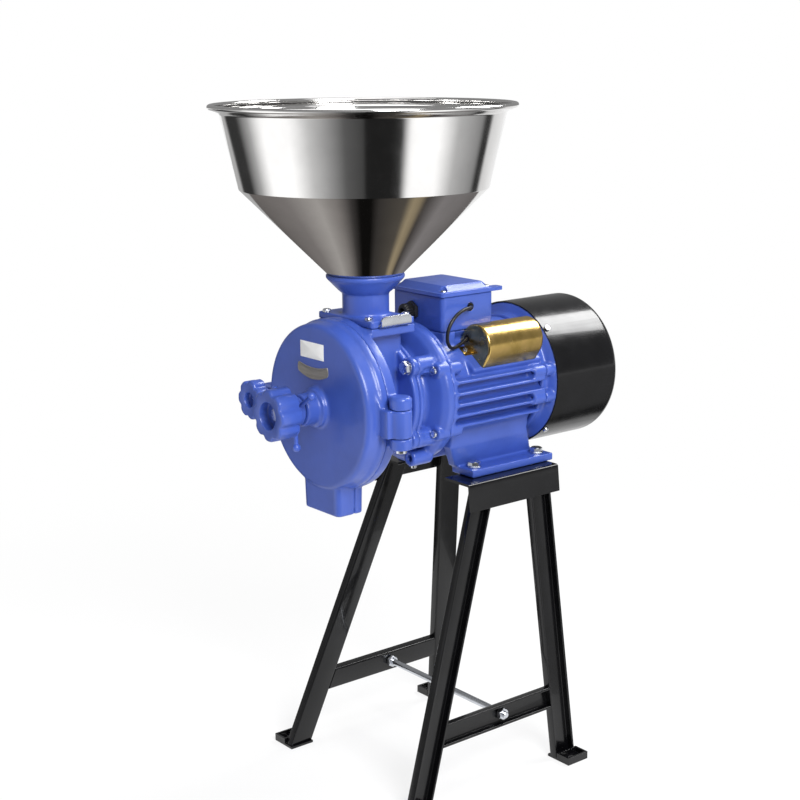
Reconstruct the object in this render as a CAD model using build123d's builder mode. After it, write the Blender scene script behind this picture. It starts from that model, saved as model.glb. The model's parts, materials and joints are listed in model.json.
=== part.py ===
from build123d import *
from math import cos, pi, radians, sin, sqrt, tan
import os

# Electric grain mill on a sheet-steel stand, in millimetres.
# +X is the side of the cover's hinge, -Y the front (cover and adjusting knob),
# +Y the fan end of the motor, +Z up. The origin is on the floor, under the middle
# of the machine's bounding box. Pieces on the shaft line are drawn as outlines of
# (y, radius) and turned about the shaft; pieces on the feed line are drawn as
# (radius, z) and turned about the hopper's axis.

# ---- driving dimensions --------------------------------------------------------
SHAFT_Z = 452.0  # shaft line above the floor
SHAFT_HEIGHT = 97.5  # shaft line above the motor's foot face
STAND_TOP = SHAFT_Z - SHAFT_HEIGHT
HOPPER_RIM_R = 166.7  # outside of the rolled rim
FAN_COVER_REAR = 242.3  # rearmost face; the hopper's rim reaches as far forward
FEED_Y = HOPPER_RIM_R - FAN_COVER_REAR  # feed line: hopper, neck and gate

SNUG = 0.05  # radial gap between fixed round fits
RUN = 0.08  # radial gap of running fits

# stand: two side frames that lean outwards
LEAN = 0.107  # outward lean per unit of height
FRAME_X = 120.5  # outer plane of a side frame at the floor
CHANNEL = 11.0  # depth of the folded channels
SHEET = 3.0
BAR_FRONT, BAR_REAR, BAR_INNER_X = 2.0, 141.0, 42.0
SKIRT_DROP, SKIRT_T = 32.0, 2.5
LEG_WIDTH = 31.0
FRONT_LEG_FOOT_Y, FRONT_LEG_SLOPE = -116.0, 0.37
REAR_LEG_FOOT_Y, REAR_LEG_SLOPE = 141.5, -0.039
CROSSBAR_BOTTOM, CROSSBAR_TOP = 65.0, 90.6
TIE_ROD_Y, TIE_ROD_Z, TIE_ROD_R, TIE_ROD_HALF = 33.6, 78.0, 3.9, 115.0
NUT_FLATS, NUT_T = 13.0, 6.5
TRAY_OUT_X, TRAY_IN_X, TRAY_WIDTH, TRAY_HEIGHT = 141.0, 106.0, 32.0, 9.0
TRAY_HOLE_R = 4.5

# motor
FRAME_FRONT, FRAME_REAR = -16.0, 125.0
FRAME_R, FRAME_BORE_R, FIN_TIP_R, BELL_R = 69.0, 63.0, 81.0, 82.0
FIN_FRONT = -9.0
FIN_T, FIN_PITCH, FIN_COUNT = 4.0, 12.7, 5
FIN_MID = -6.0  # middle fin, below the shaft line
FOOT_Y0, FOOT_Y1 = 23.0, 149.0
FOOT_X0, FOOT_X1, FOOT_T = 30.0, 68.0, 9.0
FOOT_BOLT_X, FOOT_BOLT_YS = 55.0, (36.0, 134.0)
FOOT_BOLTS = [(side * FOOT_BOLT_X, y) for side in (-1, 1) for y in FOOT_BOLT_YS]
FOOT_BOLT_R = 4.0
BEARING_R, BEARING_BORE_R, BEARING_WIDTH = 23.5, 10.0, 14.0
FRONT_BEARING_Y, REAR_BEARING_Y = -22.5, 124.0  # middle of each bearing
ROTOR_R, STATOR_BORE_R, STACK_Y0, STACK_Y1 = 37.0, 37.5, 20.0, 95.0
SLOT_COUNT, SLOT_W, SLOT_DEPTH = 24, 4.5, 14.0
FAN_COVER_R, FAN_COVER_FRONT, FAN_COVER_T = 85.5, 138.3, 1.2
AIR_OUTLET_R, AIR_OUTLET_HALF = 72.3, 26.0  # notch in the rear bell's rim
BELL_SCREW_R = 76.0
FRONT_SCREW_ANGLES, REAR_SCREW_ANGLES = (28, 152, 208, 332), (12, 168, 192, 348)
FAN_COVER_SCREW_ANGLES, FAN_COVER_SCREW_Y = (45, 135, 225, 315), 143.5

# terminal box and capacitor
BOX_X0, BOX_X1, BOX_Y0, BOX_Y1 = -48.0, 41.0, 1.0, 77.0
BOX_Z0, BOX_Z1, BOX_WALL = 522.0, 562.0, 3.0
LID_SCREWS = [(x, y) for x in (BOX_X0 + 6, BOX_X1 - 6) for y in (BOX_Y0 + 6, BOX_Y1 - 6)]
STUDS = [(x, y) for x in (-28, -14, 0) for y in (49, 61)]
GLAND_X, GLAND_Z, GLAND_BORE_R = -12.0, 541.0, 4.0
CAP_ANGLE = 55.0  # tilt of the capacitor's seat from +X
CAP_SEAT = 66.5  # seat plane's distance from the shaft line
CAP_SHIFT = 17.9  # cover's middle, down the seat plane
CAP_HALF_W, CAP_SIDE, CAP_T = 24.0, 13.0, 1.2
CAP_Y0, CAP_Y1 = 32.0, 118.0
CAPACITOR_R = 17.0
LEAD_R = 2.0

# mill: cover, casing and discs
PART_Y = -119.0  # parting plane between cover and casing
COVER_FACE_Y = -145.0
RIM_R, CHAMBER_R = 95.0, 84.0
CASING_BACK_Y = -96.0
CHAMBER_BACK_Y = -104.0
FLANGE_R, FLANGE_Y0, FLANGE_Y1 = 67.0, -61.0, -53.0
EAR_X, EAR_Z, EAR_R = 54.0, 41.0, 11.0
EARS = [(x, dz) for x in (-EAR_X, EAR_X) for dz in (-EAR_Z, EAR_Z)]
CASING_BOLT_R = 4.0
SPOUT_HALF_X, SPOUT_Y0, SPOUT_Y1, SPOUT_Z = 32.0, -142.0, -106.5, 332.0
SPOUT_WALL = 5.0
HINGE_X, HINGE_Y, KNUCKLE_R, PIN_R = 108.0, -114.1, 12.0, 4.0
KNUCKLE_Z = (421.0, 433.5, 464.5, 476.0)
PIN_TOP = 474.0
CLAMP_X, CLAMP_Z, CLAMP_R = -118.0, 441.0, 5.0
DISC_R, DISC_BORE_R, DISC_T = 68.0, 24.0, 8.0
SEAT_R, SEAT_FLAT = 9.0, 7.5
BALL_R = 5.0
SCREW_R, HUB_R = 8.0, 18.0
KNOB_R, KNOB_FACE_Y, KNOB_LENGTH = 28.0, -210.0, 27.0
LOCK_NUT_Y0, LOCK_NUT_Y1 = -180.5, -169.5
LOCK_NUT_MID_Y = (LOCK_NUT_Y0 + LOCK_NUT_Y1) / 2
LEVER_ANGLES = (-86, 34, 154)
STEM_R, LEVER_BALL_R, LEVER_BALL_AT = 2.5, 4.6, 40.0
DISC_SCREW_R, DISC_SCREW_ANGLES = 46.0, (90, 210, 330)

# feed line: neck, gate and hopper
FLANGE_HALF_X, FLANGE_HALF_Y = 49.0, 30.0
NECK_BOLTS = [(x, FEED_Y + dy) for x in (-38, 38) for dy in (-25.5, 25.5)]
CASING_FLANGE_Z, NECK_Z0, NECK_Z1 = 530.0, 539.7, 547.7
FEED_BORE_R = 19.0
NECK_R, NECK_STEP_Z, LIP_R, LIP_Z = 25.9, 572.8, 43.6, 592.5
GATE_HALF_W, GATE_T, GATE_X0 = 20.5, 2.0, -31.0
HOPPER_T = 1.0
SPIGOT_R, SPIGOT_Z = 20.2, 556.0
CONE_TOP_R, CONE_TOP_Z = 135.8, 686.4
BAND_TOP_R, BAND_TOP_Z = 154.3, 767.0
RIM_ROLL_R, RIM_TOP_Z = 2.8, 776.5

SHAFT = Axis((0, 0, SHAFT_Z), (0, 1, 0))
FEED = Axis((0, FEED_Y, 0), (0, 0, 1))
SHAFT_PROFILE = Plane(origin=(0, 0, SHAFT_Z), x_dir=(0, 1, 0), z_dir=(1, 0, 0))
FEED_PROFILE = Plane(origin=(0, FEED_Y, 0), x_dir=(1, 0, 0), z_dir=(0, -1, 0))
SIDE_FRAME = Plane(origin=(FRAME_X, 0, 0), x_dir=(0, 1, 0), z_dir=(1, 0, LEAN))
TIE = Plane(origin=(0, TIE_ROD_Y, TIE_ROD_Z), x_dir=(0, 1, 0), z_dir=(1, 0, 0))


# ---- helpers ---------------------------------------------------------------------
def across(y, z=SHAFT_Z, x=0.0):
    """Plane square to the shaft at y: local x is X, local y is Z, +z faces the front."""
    return Plane(origin=(x, y, z), x_dir=(1, 0, 0), z_dir=(0, -1, 0))


def cap_plane(y):
    """Plane square to the shaft with local y square to the capacitor's seat."""
    a = radians(CAP_ANGLE)
    seat = (CAP_SEAT * cos(a), y, SHAFT_Z + CAP_SEAT * sin(a))
    return Plane(origin=seat, x_dir=(sin(a), 0, -cos(a)), z_dir=(0, -1, 0))


def turned(outline, axis=SHAFT, plane=SHAFT_PROFILE, mode=Mode.ADD):
    """Turn a closed outline about an axis; a point's third value rounds its corner."""
    points = [point[:2] for point in outline]
    radii = [point[2] if len(point) > 2 else 0 for point in outline]
    with BuildSketch(plane) as profile:
        with BuildLine():
            FilletPolyline(*points, radius=radii, close=True)
        make_face()
    revolve(profile.sketch, axis=axis, mode=mode)


def rod(plane, radius, start, end, mode=Mode.ADD):
    """Cylinder on a plane's z axis, from start to end along it."""
    with BuildSketch(plane.offset(start)) as disc:
        Circle(radius)
    extrude(disc.sketch, amount=end - start, mode=mode)


def hexagon(plane, flats, start, end, mode=Mode.ADD):
    """Hexagonal prism on a plane's z axis, from start to end along it."""
    with BuildSketch(plane.offset(start)) as hexed:
        RegularPolygon(flats / 2, 6, major_radius=False)
    extrude(hexed.sketch, amount=end - start, mode=mode)


def block(x, y, z, mode=Mode.ADD):
    """Box between the (low, high) pairs x, y and z."""
    middle = ((x[0] + x[1]) / 2, (y[0] + y[1]) / 2, (z[0] + z[1]) / 2)
    with Locations(middle):
        Box(x[1] - x[0], y[1] - y[0], z[1] - z[0], mode=mode)


def polar(radius, angle):
    """Point on a circle about the shaft, as (x, z offset)."""
    return radius * cos(radians(angle)), radius * sin(radians(angle))


def spoke(angle, y):
    """Plane through the shaft line at y whose z axis points out at an angle from +X."""
    return Plane(origin=(0, y, SHAFT_Z), z_dir=(cos(radians(angle)), 0, sin(radians(angle))))


def keep(builder, name):
    """Label a finished piece and write it."""
    builder.part.label = name
    export_step(builder.part, f"parts/{name}.step")


def frame_outline(points):
    """Closed outline on a side frame's plane from (y, height) points."""
    slope = sqrt(1 + LEAN**2)
    Polyline(*[(y, z * slope) for y, z in points], close=True)


os.makedirs("parts", exist_ok=True)


# ---- stand -----------------------------------------------------------------------
def leg_edge(foot_y, slope, z):
    return foot_y + slope * z


def leg(foot_y, slope, width):
    """Folded channel leg: a leaning strip with its flanges turned outwards."""
    low, high = -20.0, STAND_TOP + 20.0
    y_low, y_high = leg_edge(foot_y, slope, low), leg_edge(foot_y, slope, high)
    wall = SHEET if width > 0 else -SHEET
    with BuildSketch(SIDE_FRAME) as strip:
        with BuildLine():
            frame_outline(
                [(y_low, low), (y_low + width, low), (y_high + width, high), (y_high, high)]
            )
        make_face()
    extrude(strip.sketch, amount=-CHANNEL)
    with BuildSketch(SIDE_FRAME) as pocket:
        with BuildLine():
            frame_outline(
                [
                    (y_low + wall, low),
                    (y_low + width - wall, low),
                    (y_high + width - wall, high),
                    (y_high + wall, high),
                ]
            )
        make_face()
    extrude(pocket.sketch, amount=SHEET - CHANNEL, mode=Mode.SUBTRACT)
    split(bisect_by=Plane.XY.offset(SHEET), keep=Keep.TOP)
    split(bisect_by=Plane.XY.offset(STAND_TOP - SHEET), keep=Keep.BOTTOM)


with BuildPart() as right_front_leg:
    leg(FRONT_LEG_FOOT_Y, FRONT_LEG_SLOPE, LEG_WIDTH)
keep(right_front_leg, "right_front_leg")

with BuildPart() as left_front_leg:
    mirror(right_front_leg.part, about=Plane.YZ)
keep(left_front_leg, "left_front_leg")

with BuildPart() as right_rear_leg:
    leg(REAR_LEG_FOOT_Y, REAR_LEG_SLOPE, -LEG_WIDTH)
keep(right_rear_leg, "right_rear_leg")

with BuildPart() as left_rear_leg:
    mirror(right_rear_leg.part, about=Plane.YZ)
keep(left_rear_leg, "left_rear_leg")


def frame_x(z):
    """Outer plane of the right side frame at a height."""
    return FRAME_X - LEAN * z


with BuildPart() as right_top_bar:
    plate_bottom = STAND_TOP - SHEET
    skirt_bottom = STAND_TOP - SKIRT_DROP
    with BuildSketch(Plane.XZ.offset(-BAR_FRONT)):
        with BuildLine():
            FilletPolyline(
                (BAR_INNER_X, plate_bottom),
                (frame_x(plate_bottom), plate_bottom),
                (frame_x(skirt_bottom), skirt_bottom),
                (frame_x(skirt_bottom) + SKIRT_T, skirt_bottom),
                (frame_x(STAND_TOP) + SKIRT_T, STAND_TOP),
                (BAR_INNER_X, STAND_TOP),
                radius=[0, 0, 0, 0, 3.0, 0],
                close=True,
            )
        make_face()
    extrude(amount=BAR_FRONT - BAR_REAR)
    for bolt_y in FOOT_BOLT_YS:
        with Locations((FOOT_BOLT_X, bolt_y, STAND_TOP)):
            Hole(FOOT_BOLT_R + 0.5, depth=2 * SHEET)
keep(right_top_bar, "right_top_bar")

with BuildPart() as left_top_bar:
    mirror(right_top_bar.part, about=Plane.YZ)
keep(left_top_bar, "left_top_bar")

with BuildPart() as right_crossbar:
    ends = []
    for z in (CROSSBAR_BOTTOM, CROSSBAR_TOP):
        front = leg_edge(FRONT_LEG_FOOT_Y, FRONT_LEG_SLOPE, z) + LEG_WIDTH
        rear = leg_edge(REAR_LEG_FOOT_Y, REAR_LEG_SLOPE, z) - LEG_WIDTH
        ends.append((front, rear))
    with BuildSketch(SIDE_FRAME):
        with BuildLine():
            frame_outline(
                [
                    (ends[0][0], CROSSBAR_BOTTOM),
                    (ends[0][1], CROSSBAR_BOTTOM),
                    (ends[1][1], CROSSBAR_TOP),
                    (ends[1][0], CROSSBAR_TOP),
                ]
            )
        make_face()
    extrude(amount=-CHANNEL)
    with BuildSketch(SIDE_FRAME):
        with Locations((TIE_ROD_Y, (CROSSBAR_BOTTOM + CROSSBAR_TOP) / 2)):
            Rectangle(2 * REAR_LEG_FOOT_Y, CROSSBAR_TOP - CROSSBAR_BOTTOM - 2 * SHEET)
    extrude(amount=SHEET - CHANNEL, mode=Mode.SUBTRACT)
    rod(TIE, TIE_ROD_R + 0.4, 0, TIE_ROD_HALF, Mode.SUBTRACT)
keep(right_crossbar, "right_crossbar")

with BuildPart() as left_crossbar:
    mirror(right_crossbar.part, about=Plane.YZ)
keep(left_crossbar, "left_crossbar")

with BuildPart() as tie_rod:
    rod(TIE, TIE_ROD_R, -TIE_ROD_HALF, TIE_ROD_HALF)
    chamfer(tie_rod.edges().filter_by(GeomType.CIRCLE), 0.8)
keep(tie_rod, "tie_rod")

with BuildPart() as hex_nuts:
    # on the tie rod: one inside and one outside each crossbar
    for inner in (93.8, 104.9):
        for side in (-1, 1):
            hexagon(TIE, NUT_FLATS, side * inner, side * (inner + NUT_T))
    rod(TIE, TIE_ROD_R + SNUG, -TIE_ROD_HALF, TIE_ROD_HALF, Mode.SUBTRACT)
    # on the foot bolts, under the top bars
    for x, y in FOOT_BOLTS:
        line = Plane(origin=(x, y, STAND_TOP - SHEET))
        hexagon(line, NUT_FLATS, -NUT_T, 0)
        rod(line, FOOT_BOLT_R + SNUG, -NUT_T, 0, Mode.SUBTRACT)
keep(hex_nuts, "hex_nuts")

with BuildPart() as foot_trays:
    wall = 2.5
    tray_mid_x = (frame_x(0) + TRAY_OUT_X) / 2
    for foot_y in (FRONT_LEG_FOOT_Y - 1, REAR_LEG_FOOT_Y + 1 - TRAY_WIDTH):
        span = (foot_y, foot_y + TRAY_WIDTH)
        pocket = (span[0] + wall, span[1] - wall)
        ring_x = frame_x(0) + 0.3
        block((TRAY_IN_X, TRAY_OUT_X), span, (0, SHEET))
        block((ring_x, TRAY_OUT_X), span, (SHEET, TRAY_HEIGHT))
        block((ring_x + wall, TRAY_OUT_X - wall), pocket, (SHEET, TRAY_HEIGHT), Mode.SUBTRACT)
        with Locations((tray_mid_x, foot_y + TRAY_WIDTH / 2, SHEET)):
            Hole(TRAY_HOLE_R, depth=SHEET)
    mirror(about=Plane.YZ)
keep(foot_trays, "foot_trays")


# ---- motor -----------------------------------------------------------------------
def both_sides(points):
    """Outline of (x, z offset) points and its mirror image, as two faces."""
    for side in (1, -1):
        with BuildLine() as half:
            Polyline(*[(side * x, z) for x, z in points], close=True)
        make_face(half.edges())


with BuildPart() as motor_frame:
    with BuildSketch(across(FRAME_FRONT)):
        Circle(FRAME_R)
        for row in range(FIN_COUNT):
            height = FIN_MID + (row - (FIN_COUNT - 1) / 2) * FIN_PITCH
            with Locations((0, height)):
                Rectangle(2 * sqrt(FIN_TIP_R**2 - height**2), FIN_T)
    extrude(amount=FRAME_FRONT - FRAME_REAR)
    rod(across(0), FIN_TIP_R - 1, -FIN_FRONT, -FRAME_FRONT)
    # foot webs, cut back along slanted front and rear edges
    web_front, web_rear = 3.0, 138.0
    pad_top = FOOT_T - SHAFT_HEIGHT
    with BuildSketch(across(web_front)):
        both_sides([(54, -42), (52, -62), (42, pad_top), (30, pad_top), (38, -62), (38, -48)])
    extrude(amount=web_front - web_rear)
    front_cut = [(0, 400), (0, 350), (26, 350), (2, 392)]
    rear_cut = [(122, 392), (146, 350), (170, 350), (170, 440), (122, 440)]
    for edge in (front_cut, rear_cut):
        with BuildSketch(Plane.YZ):
            with BuildLine():
                Polyline(*edge, close=True)
            make_face()
        extrude(amount=80, both=True, mode=Mode.SUBTRACT)
    # foot pads
    for side in (-1, 1):
        x = sorted((side * FOOT_X0, side * FOOT_X1))
        block(x, (FOOT_Y0, FOOT_Y1), (STAND_TOP, STAND_TOP + FOOT_T))
        for bolt_y in FOOT_BOLT_YS:
            with Locations((side * FOOT_BOLT_X, bolt_y, STAND_TOP + FOOT_T)):
                Hole(FOOT_BOLT_R + 0.4, depth=FOOT_T)
    # saddle under the terminal box, and the capacitor's seat
    block((BOX_X0, BOX_X1), (BOX_Y0, BOX_Y1), (SHAFT_Z + 40, BOX_Z0))
    with BuildSketch(cap_plane(20)):
        with Locations((CAP_SHIFT, -9)):
            Rectangle(2 * CAP_HALF_W + 2, 18)
    extrude(amount=20 - FRAME_REAR)
    with BuildSketch(cap_plane(20)):
        with Locations((CAP_SHIFT + 2, 25)):
            Rectangle(2 * CAP_HALF_W + 6, 50)
    extrude(amount=20 - FRAME_REAR, mode=Mode.SUBTRACT)
    # end lugs for the end bells' screws
    lugs = [(angle, FRAME_FRONT, 2.0) for angle in FRONT_SCREW_ANGLES]
    lugs += [(angle, FRAME_REAR - 18, FRAME_REAR) for angle in REAR_SCREW_ANGLES]
    for angle, y0, y1 in lugs:
        x, dz = polar(BELL_SCREW_R, angle)
        rod(across(0, SHAFT_Z + dz, x), 7.5, -y1, -y0)
    rod(across(0), FRAME_BORE_R, -FRAME_REAR - 30, -FRAME_FRONT + 30, Mode.SUBTRACT)
    for angle, y0, y1 in lugs:
        x, dz = polar(BELL_SCREW_R, angle)
        rod(across(0, SHAFT_Z + dz, x), 2.5, -y1, -y0, Mode.SUBTRACT)
keep(motor_frame, "motor_frame")

with BuildPart() as front_end_bell:
    turned(
        [
            (FLANGE_Y1, 46), (FLANGE_Y1, FLANGE_R, 2), (-46.5, FLANGE_R, 2), (-46, 56, 4), (-36, 57, 6),
            (-30, 76, 7), (-24, BELL_R, 3), (FRAME_FRONT, BELL_R), (FRAME_FRONT, 66), (-24, 66, 4),
            (-30, 56), (-30, 29), (-15, 29), (-15, BEARING_R + SNUG), (-29.5, BEARING_R + SNUG),
            (-29.5, 16), (-36, 16), (-37, 46),
        ]
    )
    for x, dz in EARS:
        rod(across(0, SHAFT_Z + dz, x), EAR_R - 0.5, 24, -FLANGE_Y1)
        rod(across(0, SHAFT_Z + dz, x), CASING_BOLT_R + SNUG, 26, -FLANGE_Y1, Mode.SUBTRACT)
    for side in (-1, 1):
        rod(across(0, SHAFT_Z - 66, side * 42), 9.5, 22, 50)
        rod(across(0, SHAFT_Z - 66, side * 42), 4.0, 34, 50, Mode.SUBTRACT)
    for angle in FRONT_SCREW_ANGLES:
        x, dz = polar(BELL_SCREW_R, angle)
        rod(across(0, SHAFT_Z + dz, x), 8.0, -FRAME_FRONT, 33)
        rod(across(0, SHAFT_Z + dz, x), 2.7, -FRAME_FRONT, 33, Mode.SUBTRACT)
        rod(across(0, SHAFT_Z + dz, x), 5.6, 33, 46, Mode.SUBTRACT)
keep(front_end_bell, "front_end_bell")

with BuildPart() as rear_end_bell:
    turned(
        [
            (FRAME_REAR, 66), (FRAME_REAR, 72, 2), (134, 72, 2), (139, 84.2), (147, 84.2), (147, 78),
            (140, 66, 4), (136, 58, 3), (136, 16), (131.5, 16), (131.5, BEARING_R + SNUG),
            (117, BEARING_R + SNUG), (117, 29), (130, 29), (130, 58),
        ]
    )
    for angle in REAR_SCREW_ANGLES:
        x, dz = polar(BELL_SCREW_R, angle)
        rod(across(0, SHAFT_Z + dz, x), 7.5, -147, -FRAME_REAR)
        rod(across(0, SHAFT_Z + dz, x), 2.7, -160, -FRAME_REAR, Mode.SUBTRACT)
    for angle in FAN_COVER_SCREW_ANGLES:
        rod(spoke(angle, FAN_COVER_SCREW_Y), 1.9, 70, 90, Mode.SUBTRACT)
    # air outlet under the shaft, between the feet
    outlet = (SHAFT_Z - BELL_R - 10, SHAFT_Z - AIR_OUTLET_R)
    block((-AIR_OUTLET_HALF, AIR_OUTLET_HALF), (FRAME_REAR + 8, 150), outlet, Mode.SUBTRACT)
keep(rear_end_bell, "rear_end_bell")

with BuildPart() as bell_screws:
    for angle in FRONT_SCREW_ANGLES:
        x, dz = polar(BELL_SCREW_R, angle)
        line = across(0, SHAFT_Z + dz, x)
        rod(line, 2.4, 1, 33)
        hexagon(line, 8, 33, 36.5)
    for angle in REAR_SCREW_ANGLES:
        x, dz = polar(BELL_SCREW_R, angle)
        line = across(0, SHAFT_Z + dz, x)
        rod(line, 2.4, -147, -111)
        hexagon(line, 8, -150.5, -147)
keep(bell_screws, "bell_screws")

with BuildPart() as stator_core:
    with BuildSketch(across(STACK_Y0)):
        Circle(FRAME_BORE_R - SNUG)
        Circle(STATOR_BORE_R, mode=Mode.SUBTRACT)
        with PolarLocations(STATOR_BORE_R + SLOT_DEPTH / 2 + 2, SLOT_COUNT):
            Rectangle(SLOT_DEPTH, SLOT_W, mode=Mode.SUBTRACT)
    extrude(amount=STACK_Y0 - STACK_Y1)
keep(stator_core, "stator_core")

with BuildPart() as stator_windings:
    with BuildSketch(across(STACK_Y0 - 1)):
        with PolarLocations(STATOR_BORE_R + SLOT_DEPTH / 2 + 2, SLOT_COUNT):
            Rectangle(SLOT_DEPTH - 2 * SNUG, SLOT_W - 2 * SNUG)
    extrude(amount=STACK_Y0 - STACK_Y1 - 2)
    for y0, y1 in ((STACK_Y0 - 14, STACK_Y0 - 0.5), (STACK_Y1 + 0.5, STACK_Y1 + 14)):
        turned([(y0, 40, 4), (y0, 57, 4), (y1, 57, 1), (y1, 39, 1)])
keep(stator_windings, "stator_windings")

with BuildPart() as rotor:
    turned([(STACK_Y0, 13 + SNUG), (STACK_Y0, ROTOR_R), (STACK_Y1, ROTOR_R), (STACK_Y1, 13 + SNUG)])
    for y0, y1 in ((STACK_Y0 - 8, STACK_Y0), (STACK_Y1, STACK_Y1 + 8)):
        turned([(y0, 24), (y0, 34), (y1, 34), (y1, 24)])
keep(rotor, "rotor")

with BuildPart() as motor_shaft:
    turned(
        [
            (-124.5, 0), (-124.5, SEAT_R, 1), (-57, SEAT_R), (-57, BEARING_BORE_R), (-14, BEARING_BORE_R),
            (-14, 13), (116, 13), (116, BEARING_BORE_R), (134, BEARING_BORE_R), (134, 8), (200, 8, 1),
            (200, 0),
        ]
    )
    for side in (-1, 1):
        x = sorted((side * SEAT_FLAT, side * 12))
        block(x, (-130, -104.2), (SHAFT_Z - 12, SHAFT_Z + 12), Mode.SUBTRACT)
keep(motor_shaft, "motor_shaft")

BALL_PITCH_R = (BEARING_R + BEARING_BORE_R) / 2
BALL_COUNT = 8

with BuildPart() as bearing_outer_rings:
    for mid in (FRONT_BEARING_Y, REAR_BEARING_Y):
        low, high = mid - BEARING_WIDTH / 2, mid + BEARING_WIDTH / 2
        turned([(low, 19), (low, BEARING_R, 1), (high, BEARING_R, 1), (high, 19)])
        with Locations(Plane(origin=(0, mid, SHAFT_Z), z_dir=(0, 1, 0))):
            Torus(BALL_PITCH_R, 4.1, mode=Mode.SUBTRACT)
keep(bearing_outer_rings, "bearing_outer_rings")

with BuildPart() as bearing_inner_rings:
    for mid in (FRONT_BEARING_Y, REAR_BEARING_Y):
        low, high = mid - BEARING_WIDTH / 2, mid + BEARING_WIDTH / 2
        turned([(low, 10 + SNUG), (low, 14.5), (high, 14.5), (high, 10 + SNUG)])
        with Locations(Plane(origin=(0, mid, SHAFT_Z), z_dir=(0, 1, 0))):
            Torus(BALL_PITCH_R, 4.1, mode=Mode.SUBTRACT)
keep(bearing_inner_rings, "bearing_inner_rings")

with BuildPart() as bearing_balls:
    for mid in (FRONT_BEARING_Y, REAR_BEARING_Y):
        with Locations(across(mid)):
            with PolarLocations(BALL_PITCH_R, BALL_COUNT):
                Sphere(4.0)
keep(bearing_balls, "bearing_balls")

with BuildPart() as shaft_seal:
    turned([(-35.9, 10.4), (-35.9, 16 - SNUG), (-30.2, 16 - SNUG), (-30.2, 13), (-34, 10.4)])
keep(shaft_seal, "shaft_seal")

with BuildPart() as cooling_fan:
    turned([(164, 8 + SNUG), (164, 15, 2), (194, 13, 2), (194, 8 + SNUG)])
    with BuildSketch(across(165)):
        with PolarLocations(43, 7):
            Rectangle(60, 2.5)
    extrude(amount=165 - 193)
    turned([(164, 60), (164, 74), (166, 74), (166, 60)])
keep(cooling_fan, "cooling_fan")

with BuildPart() as fan_cover:
    inner_r, inner_rear = FAN_COVER_R - FAN_COVER_T, FAN_COVER_REAR - FAN_COVER_T
    turned(
        [
            (FAN_COVER_FRONT, inner_r), (FAN_COVER_FRONT, FAN_COVER_R), (FAN_COVER_REAR, FAN_COVER_R, 12),
            (FAN_COVER_REAR, 0), (inner_rear, 0), (inner_rear, inner_r, 12 - FAN_COVER_T),
        ]
    )
    with BuildSketch(across(FAN_COVER_REAR)):
        for ring_r, count, length in ((24, 12, 14), (44, 20, 16), (63, 30, 14)):
            with PolarLocations(ring_r, count):
                SlotOverall(length, 3.5)
    extrude(amount=4 * FAN_COVER_T, both=True, mode=Mode.SUBTRACT)
    for angle in FAN_COVER_SCREW_ANGLES:
        rod(spoke(angle, FAN_COVER_SCREW_Y), 2.2, 80, 90, Mode.SUBTRACT)
keep(fan_cover, "fan_cover")

with BuildPart() as fan_cover_screws:
    for angle in FAN_COVER_SCREW_ANGLES:
        line = spoke(angle, FAN_COVER_SCREW_Y)
        rod(line, 1.85, 79, FAN_COVER_R + 0.3)
        rod(line, 3.6, FAN_COVER_R + 0.2, FAN_COVER_R + 2.4)
        with BuildSketch(line.offset(FAN_COVER_R + 2.4)) as drive:
            Rectangle(5.6, 0.9)
        extrude(drive.sketch, amount=-1.2, mode=Mode.SUBTRACT)
keep(fan_cover_screws, "fan_cover_screws")

with BuildPart() as foot_bolts:
    for x, y in FOOT_BOLTS:
        line = Plane(origin=(x, y, STAND_TOP + FOOT_T))
        rod(line, FOOT_BOLT_R, -24, 0.1)
        rod(line, 8.0, 0, 1.6)
        hexagon(line, NUT_FLATS, 1.6, 7)
keep(foot_bolts, "foot_bolts")


# ---- terminal box and capacitor ---------------------------------------------------
with BuildPart() as terminal_box:
    block((BOX_X0, BOX_X1), (BOX_Y0, BOX_Y1), (BOX_Z0, BOX_Z1))
    fillet(terminal_box.edges().filter_by(Axis.Z), 5)
    block(
        (BOX_X0 + BOX_WALL, BOX_X1 - BOX_WALL),
        (BOX_Y0 + BOX_WALL, BOX_Y1 - BOX_WALL),
        (BOX_Z0 + BOX_WALL, BOX_Z1),
        Mode.SUBTRACT,
    )
    for x, y in LID_SCREWS:
        rod(Plane(origin=(x, y, BOX_Z0)), 4.5, 0, BOX_Z1 - BOX_Z0)
        rod(Plane(origin=(x, y, BOX_Z0)), 2.0, 20, BOX_Z1 - BOX_Z0, Mode.SUBTRACT)
    rod(across(BOX_Y0, GLAND_Z, GLAND_X), 8.0, -6, 6, Mode.SUBTRACT)
    rod(Plane(origin=(BOX_X1, 42.5, 547), z_dir=(1, 0, 0)), 4.5, -6, 6, Mode.SUBTRACT)
    with Locations((0, 30, BOX_Z0)):
        Cylinder(9, 20, mode=Mode.SUBTRACT)
keep(terminal_box, "terminal_box")

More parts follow.
